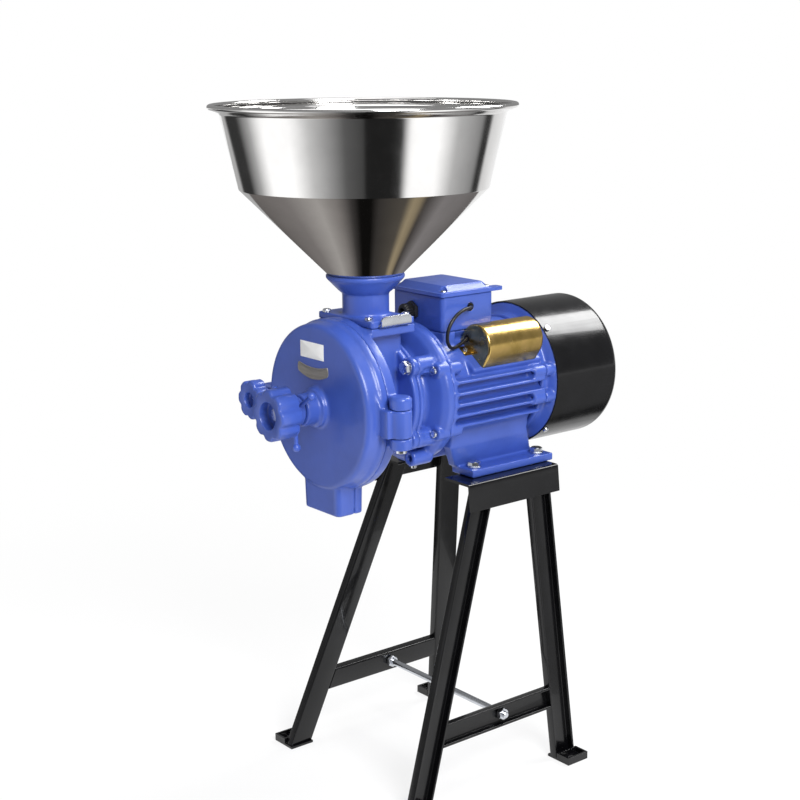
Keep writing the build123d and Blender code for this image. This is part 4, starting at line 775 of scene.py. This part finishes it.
def hex_screw(centre, axis, flats, height, shank, reach, washer=(0.0, 0.0)):
    """A hexagon-headed screw from the top of its head down to the end of its shank, with a washer
    given as (thickness, radius) under the head."""
    a, (thick, disc) = flats / 2, washer
    top = thick + height
    rows = [(top, 0), (top, 0.9 * a), (top - 0.16 * height, a, 1), (thick, a, 1)]
    if thick:
        rows += [(thick, disc - 0.3), (thick - 0.3, disc), (0.3, disc), (0, disc - 0.3)]
    rows += [(0, shank), (0.6 - reach, shank), (-reach, shank - 0.6), (-reach, 0)]
    return turned(rows, centre, axis, hexagon, 48), "poles"


def pan_screw(centre, axis, base, head, reach, half_length, height, shank, deep, arms):
    """A pan-headed screw with a driver's recess sunk in a domed top: its head's underside is at
    base from the centre, head is the head's radius, and the recess is deep, half_length to each
    side. At angle t the dome is 0.45 * height * (1 + 1.22 cos t) high and head * sin t out."""
    top = base + height
    rows = [(top - deep, 0), (top - deep, half_length, 1), (top, half_length, 1)]
    turn = np.linspace(0.25, 1, 5) * math.pi / 2
    dome = np.column_stack([base + height * 0.45 * (1 + 1.22 * np.cos(turn)), head * np.sin(turn)])
    rows += [(min(z, top), max(r, half_length + 0.3)) for z, r in dome]
    rows += [(base, head), (base, shank), (base - reach, shank), (base - reach, 0)]
    return turned(rows, centre, axis, recess(0.45 / half_length, arms), 96), "poles"


class GRAINMILL_OT_screws(MakerOperator, bpy.types.Operator):
    """Screws and bolts of the motor, the casing, the neck and the boxes"""

    bl_idname = "grainmill.screws"
    bl_label = "Screws and bolts"

    def execute(self, context):
        made = {}
        bells = (
            (FRONT, FRONT_BELL_Y, 32.0, (28, 152, 208, 332)),
            (BACK, REAR_BELL_Y, 36.0, (12, 168, 192, 348)),
        )
        made["bell_screws"] = []
        for axis, y, reach, angles in bells:
            for x, _, z in map(ray, angles):
                place = (BELL_CIRCLE * x, y, SHAFT_Z + BELL_CIRCLE * z)
                screw = hex_screw(place, axis, shank=2.4, reach=reach, **SMALL_HEX)
                made["bell_screws"].append(screw)
        made["casing_bolts"] = [
            hex_screw((x, CASING_BOLT_Y, z), FRONT, reach=33.0, **LARGE_HEX)
            for x, z in four_places((0.0, SHAFT_Z), (54.0, 41.0))
        ]
        made["foot_bolts"] = [
            hex_screw((x, y, FOOT_TOP), UP, reach=24.0, **LARGE_HEX) for x, y in FOOT_BOLT_PLACES
        ]
        made["neck_bolts"] = [
            hex_screw((x, y, NECK_TOP), UP, shank=2.45, reach=17.0, **SMALL_HEX)
            for x, y in four_places((FEED_X, FEED_Y), (38.0, 25.5))
        ]
        lid = {"base": LID_THICK, "head": 3.6, "reach": 20.0, "half_length": 2.5}
        made["lid_screws"] = [
            pan_screw((x, y, LID_UNDER), UP, **lid, **CROSS_PAN)
            for x, y in four_places((-3.5, 39.0), (38.5, 32.0))
        ]
        out, far = ray(CAPACITOR_TILT), CAPACITOR_FLANGE
        made["capacitor_screws"] = []
        for shift, y in ((13.0, 27.0), (17.9, 121.4)):
            place = (far * out[0] + shift * out[2], y, SHAFT_Z + far * out[2] - shift * out[0])
            screw = pan_screw(place, out, base=1.2, head=3.1, reach=1.2, half_length=2.2, **CROSS_PAN)
            made["capacitor_screws"].append(screw)
        side = {"base": FAN_SCREW_SEAT, "head": 3.6, "reach": 6.7, "half_length": 2.8}
        made["fan_cover_screws"] = [
            pan_screw((0.0, FAN_SCREW_Y, SHAFT_Z), ray(a), **side, **SLOT_PAN)
            for a in (45, 135, 225, 315)
        ]
        rows = [(417, 0), (417, 6.0), (417.5, 6.5), (420.5, 6.5), (421, 6.0), (421, 4)]
        rows += [(472.5, 4), (473.5, 3), (473.5, 0)]
        made["hinge_pin"] = [(turned(rows, (HINGE_X, HINGE_Y, 0.0), UP, columns=40), "poles")]
        for node, sheets in made.items():
            dress_node(node, surface(node + "_turned", sheets), context)
        return {"FINISHED"}


def star_knob(centre, hub, drum, sink, bore, flute, count):
    """A lobed hand knob facing the front: hub as (start, radius), drum as (start, end, radius) with
    lobes round it, sink as (radius, depth) in its face, and a bore right through."""
    (h0, hr), (d0, d1, r), (sr, deep) = hub, drum, sink
    rows = [(h0, bore), (h0, hr - 0.6), (h0 + 0.6, hr), (d0 + 0.4, hr)]
    rows += [(d0, 0.8 * r, 0.6), (d0, 0.93 * r, 1), (d0 + 0.5, 0.97 * r, 1), (d0 + 1.6, r, 1)]
    turn = np.linspace(0, math.pi / 2, 6)
    edge = zip(d1 - 3 + 3 * np.sin(turn), r - 3 + 3 * np.cos(turn))
    rows += [(z, radius, 1) for z, radius in edge]
    rows += [(d1, 0.84 * r, 0.8), (d1, sr + 1.2), (d1 - 0.3, sr + 0.4), (d1 - 1, sr)]
    rows += [(d1 - deep + 1, sr), (d1 - deep, sr - 1), (d1 - deep, bore)]
    return turned(rows, centre, FRONT, lobes(count, flute / r), 192), "loop"


class GRAINMILL_OT_controls(MakerOperator, bpy.types.Operator):
    """Adjusting knob and screw, lock nut with its levers, and the cover's clamp"""

    bl_idname = "grainmill.controls"
    bl_label = "Controls"

    def execute(self, context):
        sizes = context.scene.grain_mill_sizes
        shaft, clamp = (0.0, 0.0, SHAFT_Z), (CLAMP_X, 0.0, CLAMP_Z)
        flute, pitch = sizes.flute_depth / MM, sizes.screw_pitch / MM
        made = {}  # the rows' first numbers are distances in front of the origin
        made["adjusting_knob"] = star_knob(
            shaft, hub=(181, 13), drum=(183, 210, 28), sink=(15, 11), bore=8.0, flute=flute, count=8
        )
        made["clamp_knob"] = star_knob(
            clamp, hub=(133.3, 10), drum=(139, 156, 22.5), sink=(9, 8), bore=5.1,
            flute=flute * 0.85, count=7,
        )
        rows = [(169.5, 8), (169.5, 14.5), (170.5, 15.5), (179.5, 15.5), (180.5, 14.5), (180.5, 8)]
        made["lock_nut"] = (turned(rows, shaft, FRONT, columns=96), "loop")
        inner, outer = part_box("adjusting_screw")
        start, end = -outer[1] / MM, -inner[1] / MM
        made["adjusting_screw"] = (thread(start, end, 7.9, pitch, shaft, FRONT, 64), "poles")
        made["clamp_screw"] = (thread(106, 148, 5.0, pitch, clamp, FRONT, 40), "poles")
        rows = [(131.3, 5.1), (131.3, 8.6), (131.6, 9), (132.8, 9), (133.1, 8.6), (133.1, 5.1)]
        made["clamp_washer"] = (turned(rows, clamp, FRONT, columns=64), "loop")
        for node, sheet in made.items():
            dress_node(node, surface(node + "_turned", [sheet]), context)
        rod, ball, ball_at = 2.5, 4.6, 40.0  # radii, and the ball's middle from the shaft's line
        rows = [(12.1, 0), (12.1, rod)]
        for t in np.linspace(math.asin(rod / ball), math.pi, 14):
            rows.append((ball_at - ball * math.cos(t), ball * math.sin(t) if t < math.pi else 0))
        levers = [
            (turned(rows, (0, -175, SHAFT_Z), ray(a), columns=32), "poles") for a in (-86, 34, 154)
        ]
        dress_node("lock_levers", surface("lock_levers_turned", levers), context)
        return {"FINISHED"}


def plate_sheet(place, y, levels):
    """A thin plate facing the front from place(u, v), which gives x and z over the unit square.
    Each level is (how far in front of y, how far in from the edge as a share of u, of v); the
    square's border is walked at each level, from a point at its back to a point at its front."""
    s = np.linspace(0, 1, 24, endpoint=False)
    u = np.concatenate([s, np.ones(24), 1 - s, np.zeros(24)]) - 0.5
    v = np.concatenate([np.zeros(24), s, np.ones(24), 1 - s]) - 0.5
    out, in_u, in_v = np.array([(levels[0][0], 0.5, 0.5), *levels, (levels[-1][0], 0.5, 0.5)]).T
    x, z = place(0.5 + (1 - 2 * in_u)[:, None] * u, 0.5 + (1 - 2 * in_v)[:, None] * v)
    return np.stack(np.broadcast_arrays(x, y - out[:, None], z), axis=2)


def nameplate_place(u, v):
    """A band that sags, its ends drawn in: its top and bottom edges are parabolas through three
    points each."""
    sag = (2 * u - 1) ** 2
    half = 28 - 2.4 * np.abs(2 * v - 1) ** 3
    bottom, top = 30.5 + 5.5 * sag, 43.5 + 3.5 * sag
    return -5 + (2 * u - 1) * half, SHAFT_Z + bottom + v * (top - bottom)


def label_place(u, v):
    """A level rectangle above the nameplate, 43 wide and 18 high."""
    return -28 + 43 * u, 505 + 18 * v


def gate_sheet():
    """The gate plate: a level tongue with an upturned lip, its corners given as (x, z, rounding),
    carried along y, with the lip's upper corners rounded by z = min(z, top of an arc at that y)."""
    low, high, half_width, lip_r = 539.85, 552.85, 20.5, 6.0
    corners = [(-31, low, 0.4), (55, low, 5), (55, high, 0.6), (53, high, 0.6)]
    corners += [(53, low + 2, 3), (-31, low + 2, 0.4)]
    x, z = rounded(corners, closed=True, steps=5).T
    inset = lip_r * (1 - np.cos(np.linspace(0, math.pi / 2, 8)))
    offset = np.concatenate([inset - half_width, (half_width - inset)[::-1]])[:, None]
    from_end = np.minimum(half_width - np.abs(offset), lip_r)
    top = high - lip_r + np.sqrt(lip_r**2 - (lip_r - from_end) ** 2)
    return np.stack(np.broadcast_arrays(x, FEED_Y + offset, np.minimum(z, top)), axis=2)


class GRAINMILL_OT_fittings(MakerOperator, bpy.types.Operator):
    """Pressed covers, trays, lid, gate plate, gland, nameplate and the blank label"""

    bl_idname = "grainmill.fittings"
    bl_label = "Covers and fittings"

    def execute(self, context):
        width = context.scene.grain_mill_sizes.sheet_edge
        for node in ("fan_cover", "capacitor_cover", "foot_trays", "terminal_box_lid"):
            dress_node(node, edged_piece(node, width), context)
        plate = surface("gate_plate_fold", [(gate_sheet(), "flats")], 30.0)
        dress_node("gate_plate", plate, context)
        levels = [(0, 0, 0), (0.5, 0, 0), (0.8, 0.004, 0.02), (0.8, 0.025, 0.1), (0.5, 0.03, 0.13)]
        sheet = plate_sheet(nameplate_place, COVER_FACE_Y, levels)
        dress_node("cover_nameplate", surface("sagging_nameplate", [(sheet, "poles")]), context)
        levels = [(0.02, 0, 0), (0.1, 0, 0), (0.15, 0.003, 0.006)]
        sheet = plate_sheet(label_place, COVER_FACE_Y, levels)
        label = surface("blank_label", [(sheet, "poles")])
        dress(label, context, BODY_OF["front_cover"], "nameplate_foil", finish="label_vinyl")
        # The gland's black nylon nut and dome are partly painted shade: they sit where the box's front
        # is shaded.
        nuts = [(-10.5, 4), (-10.5, 7.9), (-9.8, 8.5, 1), (-4.1, 8.5, 1), (-4.1, 7.9), (-1, 7.9)]
        nuts += [(-1, 9.3), (-0.4, 10, 1), (3.4, 10, 1), (4, 9.3), (4.4, 8), (4.4, 4)]
        dome = [(4.4, 4.05), (4.4, 8.6, 1), (5, 9, 1), (11, 9, 1), (13, 8.6, 1), (14.4, 7.5, 0.5)]
        dome += [(15, 6), (15, 4.6), (14.5, 4.05)]
        sheets = [
            (turned(nuts, GLAND_IN_SHADE, FRONT, hexagon, 96), "loop"),
            (turned(dome, GLAND_IN_SHADE, FRONT, lobes(16, 0.09), 192), "loop"),
        ]
        dress_node("cable_gland", surface("cable_gland_turned", sheets), context)
        return {"FINISHED"}


LEAD_ROUTE = (
    (41.0, 42.5, 547.0),
    (48.0, 37.5, 547.6),
    (52.5, 27.0, 548.4),
    (55.5, 14.5, 546.5),
    (57.0, 3.0, 540.0),
    (57.0, -5.0, 528.5),
    (55.0, -5.0, 514.5),
    (51.0, 4.5, 504.5),
    (47.5, 18.0, 505.5),
    (46.05, 32.0, 512.53),
)


class GRAINMILL_OT_lead(MakerOperator, bpy.types.Operator):
    """The lead from the terminal box to the capacitor's cover"""

    bl_idname = "grainmill.lead"
    bl_label = "Capacitor lead"

    def execute(self, context):
        diameter = context.scene.grain_mill_sizes.lead_diameter
        curve = bpy.data.curves.new("lead_run", "CURVE")
        curve.dimensions = "3D"
        spline = curve.splines.new("NURBS")
        spline.points.add(len(LEAD_ROUTE) - 1)
        for point, place in zip(spline.points, LEAD_ROUTE):
            point.co = (*(c * MM for c in place), 1.0)
        spline.order_u = 3
        spline.use_endpoint_u = True
        spline.resolution_u = 12
        curve.bevel_depth, curve.bevel_resolution, curve.use_fill_caps = diameter / 2, 6, True
        lead = in_scene("capacitor_lead_run", curve)
        dress(lead, context, "machine", "black_rubber", "capacitor_lead")
        return {"FINISHED"}


class GRAINMILL_OT_solids(MakerOperator, bpy.types.Operator):
    """Finishes for the solids that show as they are"""

    bl_idname = "grainmill.solids"
    bl_label = "Finishes of the solids"

    def execute(self, context):
        for node, solid in frame["nodes"].items():
            if not solid.hide_render:
                solid.data.materials.clear()
                solid.data.materials.append(finish_for(SLOT_OF[node], context))
        return {"FINISHED"}


# ---- stage ------------------------------------------------------------------------------
# Lengths from here on are in metres.

WHITE = (1.0, 1.0, 1.0, 1.0)
CAMERA_PLACE = (1.3345, -1.1014, 0.8371)
CAMERA_TURN, CAMERA_DROP, CAMERA_ROLL = map(math.radians, (51.195, 12.979, -0.48))
CAMERA_LENS = 69.495  # millimetres, on a sensor 36 mm wide

# Brightness of the cards round the hopper as (degrees about the feed line from the camera's side,
# linear grey), and of the ring under its cone as (degrees, sRGB).
BAND_CARDS = (
    (-180, 0.33), (-146, 0.36), (-140, 0.03), (-120, 0.03), (-104, 0.35), (-88, 1.0), (-62, 1.0),
    (-44, 0.5), (-29, 0.28), (-14, 0.09), (1, 0.05), (3, 0.012), (25, 0.012), (33, 0.03), (40, 0.9),
    (44, 1.0), (66, 1.0), (85, 0.42), (112, 0.22), (118, 0.03), (125, 0.03), (130, 0.6), (150, 0.7),
)
CONE_CARDS = (
    (-180, "#4A4643"), (-70, "#8A8583"), (-38, "#B5B1AD"), (-22, "#8F8A87"), (-10, "#454241"),
    (-3, "#121110"), (7, "#121110"), (14, "#3E3B39"), (36, "#5A554E"), (43, "#AA9B7E"),
    (49, "#9A8C72"), (55, "#4A4644"), (75, "#8E8A8A"), (180, "#4A4643"),
)


def camera_matrix():
    """Columns right, up and back of a camera that looks down by the drop, turned about Z."""
    right = Vector((math.cos(CAMERA_TURN), math.sin(CAMERA_TURN), 0.0))
    level = Vector((-math.sin(CAMERA_TURN), math.cos(CAMERA_TURN), 0.0))
    ahead = level * math.cos(CAMERA_DROP) - Vector(UP) * math.sin(CAMERA_DROP)
    above = level * math.sin(CAMERA_DROP) + Vector(UP) * math.cos(CAMERA_DROP)
    cos_roll, sin_roll = math.cos(CAMERA_ROLL), math.sin(CAMERA_ROLL)
    side = right * cos_roll + above * sin_roll
    above = above * cos_roll - right * sin_roll
    matrix = Matrix((side, above, -ahead)).transposed().to_4x4()
    matrix.translation = CAMERA_PLACE
    return matrix


def lamp(name, place, aim_z, size, watts):
    """A white square soft box at place, turned to a point on the Z axis."""
    data = bpy.data.lights.new(name, "AREA")
    data.shape, data.size, data.energy = "SQUARE", size, watts
    made = in_scene(name, data)
    made.location = place
    toward = Vector((0.0, 0.0, aim_z)) - Vector(place)
    made.rotation_euler = toward.to_track_quat("-Z", "Y").to_euler()


def on_rays(tree, *kinds):
    """1 on rays of any of the given kinds and 0 on the others."""
    path = add_node(tree, "ShaderNodeLightPath").outputs
    seen = path[f"Is {kinds[0]} Ray"]
    for kind in kinds[1:]:
        either = {0: seen, 1: path[f"Is {kind} Ray"]}
        seen = add_node(tree, "ShaderNodeMath", either, operation="MAXIMUM").outputs[0]
    return seen


def make_camera(scene):
    """The camera, looking at the mill's front and hinge side from a little above."""
    data = bpy.data.cameras.new("studio_camera")
    data.sensor_width, data.lens = 36.0, CAMERA_LENS
    data.clip_start, data.clip_end = 0.05, 30.0
    scene.camera = in_scene("studio_camera", data)
    scene.camera.matrix_world = camera_matrix()


def make_floor(scene):
    """White paper that glows for the eye: all of it far away, less of it near the feet, where
    the shadows are kept."""
    half, under = 12.0, -0.0005
    mesh = bpy.data.meshes.new("studio_floor")
    corners = ((-half, -half, under), (half, -half, under), (half, half, under), (-half, half, under))
    mesh.from_pydata(corners, [], [(0, 1, 2, 3)])
    floor = in_scene("studio_floor", mesh)
    material, tree = empty_material("studio_paper")
    seen = on_rays(tree, "Camera", "Glossy", "Transmission")
    where = add_node(tree, "ShaderNodeTexCoord").outputs["Object"]
    away = add_node(tree, "ShaderNodeVectorMath", {0: where}, operation="LENGTH").outputs["Value"]
    reach = {"Value": away, "From Min": 0.3, "From Max": 1.3, "To Min": 0.76, "To Max": 1.0}
    glow = add_node(tree, "ShaderNodeMapRange", reach, interpolation_type="SMOOTHSTEP").outputs[0]
    share = add_node(tree, "ShaderNodeMath", {0: seen, 1: glow}, operation="MULTIPLY").outputs[0]
    paper = add_node(tree, "ShaderNodeBsdfDiffuse", {"Color": (*scene.grain_mill_colours.floor, 1)})
    white = add_node(tree, "ShaderNodeEmission", {"Color": WHITE, "Strength": 1.0})
    shaders = {0: share, 1: paper.outputs[0], 2: white.outputs[0]}
    mixed = add_node(tree, "ShaderNodeMixShader", shaders)
    add_node(tree, "ShaderNodeOutputMaterial", {"Surface": mixed.outputs[0]})
    mesh.materials.append(material)


def make_cards(name, reach, height, stops, strength):
    """A flat ring of light and dark cards round the feed line that only reflections see, and
    only from above: its brightness is a ramp over the angle about that line, measured from
    the camera's side."""
    columns = 181
    t = np.linspace(0, 2 * math.pi, columns)
    radius = np.array(reach)[:, None]
    ring = [radius * np.sin(t) + FEED_X * MM, -radius * np.cos(t) + FEED_Y * MM]
    ring = np.stack([*ring, np.full((2, columns), height)], axis=2)
    mesh = bpy.data.meshes.new(name)
    faces = grid_faces(2, columns, 0, False, False)
    mesh.from_pydata(ring.reshape(-1, 3).tolist(), [], faces[:, ::-1].tolist())
    cards = in_scene(name, mesh)
    material, tree = empty_material(name + "_brightness")
    where = add_node(tree, "ShaderNodeTexCoord").outputs["Object"]
    centred = {"Vector": where, "Location": (-FEED_X * MM, -FEED_Y * MM, 0.0)}
    where = add_node(tree, "ShaderNodeMapping", centred).outputs[0]
    facing = {"Vector": where, "Rotation": (0.0, 0.0, -CAMERA_TURN)}
    where = add_node(tree, "ShaderNodeMapping", facing).outputs[0]
    parts = add_node(tree, "ShaderNodeSeparateXYZ", {0: where}).outputs
    toward = add_node(tree, "ShaderNodeMath", {0: parts["Y"], 1: -1.0}, operation="MULTIPLY").outputs[0]
    sides = {0: parts["X"], 1: toward}
    angle = add_node(tree, "ShaderNodeMath", sides, operation="ARCTAN2").outputs[0]
    turn = {"Value": angle, "From Min": -math.pi, "From Max": math.pi}
    place = add_node(tree, "ShaderNodeMapRange", turn).outputs[0]
    stops = [((degrees + 180.0) / 360.0, value) for degrees, value in stops]
    colours = add_node(tree, "ShaderNodeValToRGB", {"Fac": place}, stops).outputs["Color"]
    glow = add_node(tree, "ShaderNodeEmission", {"Color": colours, "Strength": strength})
    clear = add_node(tree, "ShaderNodeBsdfTransparent")
    below = add_node(tree, "ShaderNodeNewGeometry").outputs["Backfacing"]
    mixed = add_node(tree, "ShaderNodeMixShader", {0: below, 1: glow.outputs[0], 2: clear.outputs[0]})
    add_node(tree, "ShaderNodeOutputMaterial", {"Surface": mixed.outputs[0]})
    mesh.materials.append(material)
    cards.visible_camera = cards.visible_diffuse = cards.visible_shadow = False
    cards.visible_transmission = cards.visible_volume_scatter = False


def make_world(scene):
    """Soft grey light from all round, and plain white for the eye."""
    world = bpy.data.worlds.new("studio_world")
    scene.world = world
    world.use_nodes = True
    tree = world.node_tree
    tree.nodes.clear()
    seen = on_rays(tree, "Camera", "Transmission")
    soft = add_node(tree, "ShaderNodeBackground", {"Color": WHITE, "Strength": 0.28})
    white = add_node(tree, "ShaderNodeBackground", {"Color": WHITE, "Strength": 1.0})
    mixed = add_node(tree, "ShaderNodeMixShader", {0: seen, 1: soft.outputs[0], 2: white.outputs[0]})
    add_node(tree, "ShaderNodeOutputWorld", {"Surface": mixed.outputs[0]})


class GRAINMILL_OT_stage(MakerOperator, bpy.types.Operator):
    """Floor, cards, lamps, world and camera"""

    bl_idname = "grainmill.stage"
    bl_label = "Studio"

    def execute(self, context):
        scene = context.scene
        scene.view_settings.view_transform = "Standard"
        make_camera(scene)
        make_floor(scene)
        band = [(degrees, (grey, grey, grey, 1)) for degrees, grey in BAND_CARDS]
        make_cards("band_cards", reach=(0.5, 6.0), height=0.0005, stops=band, strength=1.35)
        cone = [(degrees, linear(hex_colour)) for degrees, hex_colour in CONE_CARDS]
        make_cards("cone_cards", reach=(0.036, 0.26), height=0.585, stops=cone, strength=0.9)
        make_world(scene)
        lamp("key_softbox", (2.0, -0.5, 1.9), aim_z=0.45, size=1.1, watts=74.0)
        lamp("rear_softbox", (0.3, 1.9, 2.3), aim_z=0.45, size=1.2, watts=62.0)
        lamp("top_softbox", (-0.2, 0.0, 2.4), aim_z=0.4, size=1.2, watts=10.0)
        lamp("left_fill", (-1.0, -2.0, 1.0), aim_z=0.4, size=1.2, watts=1.5)
        return {"FINISHED"}


class GRAINMILL_PT_panel(bpy.types.Panel):
    """Lists the sizes, the colours and the pieces"""

    bl_idname = "GRAINMILL_PT_panel"
    bl_label = "Grain Mill"
    bl_space_type = "VIEW_3D"
    bl_region_type = "UI"
    bl_category = "Grain Mill"

    def draw(self, context):
        for group in (context.scene.grain_mill_sizes, context.scene.grain_mill_colours):
            box = self.layout.box()
            for name in group.bl_rna.properties.keys():
                if name not in ("name", "rna_type"):
                    box.prop(group, name)
        for maker in MAKERS:
            self.layout.operator(maker.bl_idname)


MAKERS = (
    GRAINMILL_OT_stage,
    GRAINMILL_OT_lead,
    GRAINMILL_OT_castings,
    GRAINMILL_OT_hopper,
    GRAINMILL_OT_stand,
    GRAINMILL_OT_screws,
    GRAINMILL_OT_controls,
    GRAINMILL_OT_fittings,
    GRAINMILL_OT_solids,
)
CLASSES = (GrainMillSizes, GrainMillColours, *MAKERS, GRAINMILL_PT_panel)


def register():
    for cls in CLASSES:
        bpy.utils.register_class(cls)
    bpy.types.Scene.grain_mill_sizes = bpy.props.PointerProperty(type=GrainMillSizes)
    bpy.types.Scene.grain_mill_colours = bpy.props.PointerProperty(type=GrainMillColours)


def unregister():
    del bpy.types.Scene.grain_mill_colours
    del bpy.types.Scene.grain_mill_sizes
    for cls in reversed(CLASSES):
        bpy.utils.unregister_class(cls)


def main():
    register()
    for maker in MAKERS:
        getattr(bpy.ops.grainmill, maker.bl_idname.split(".")[1])()


if __name__ == "__main__":
    main()
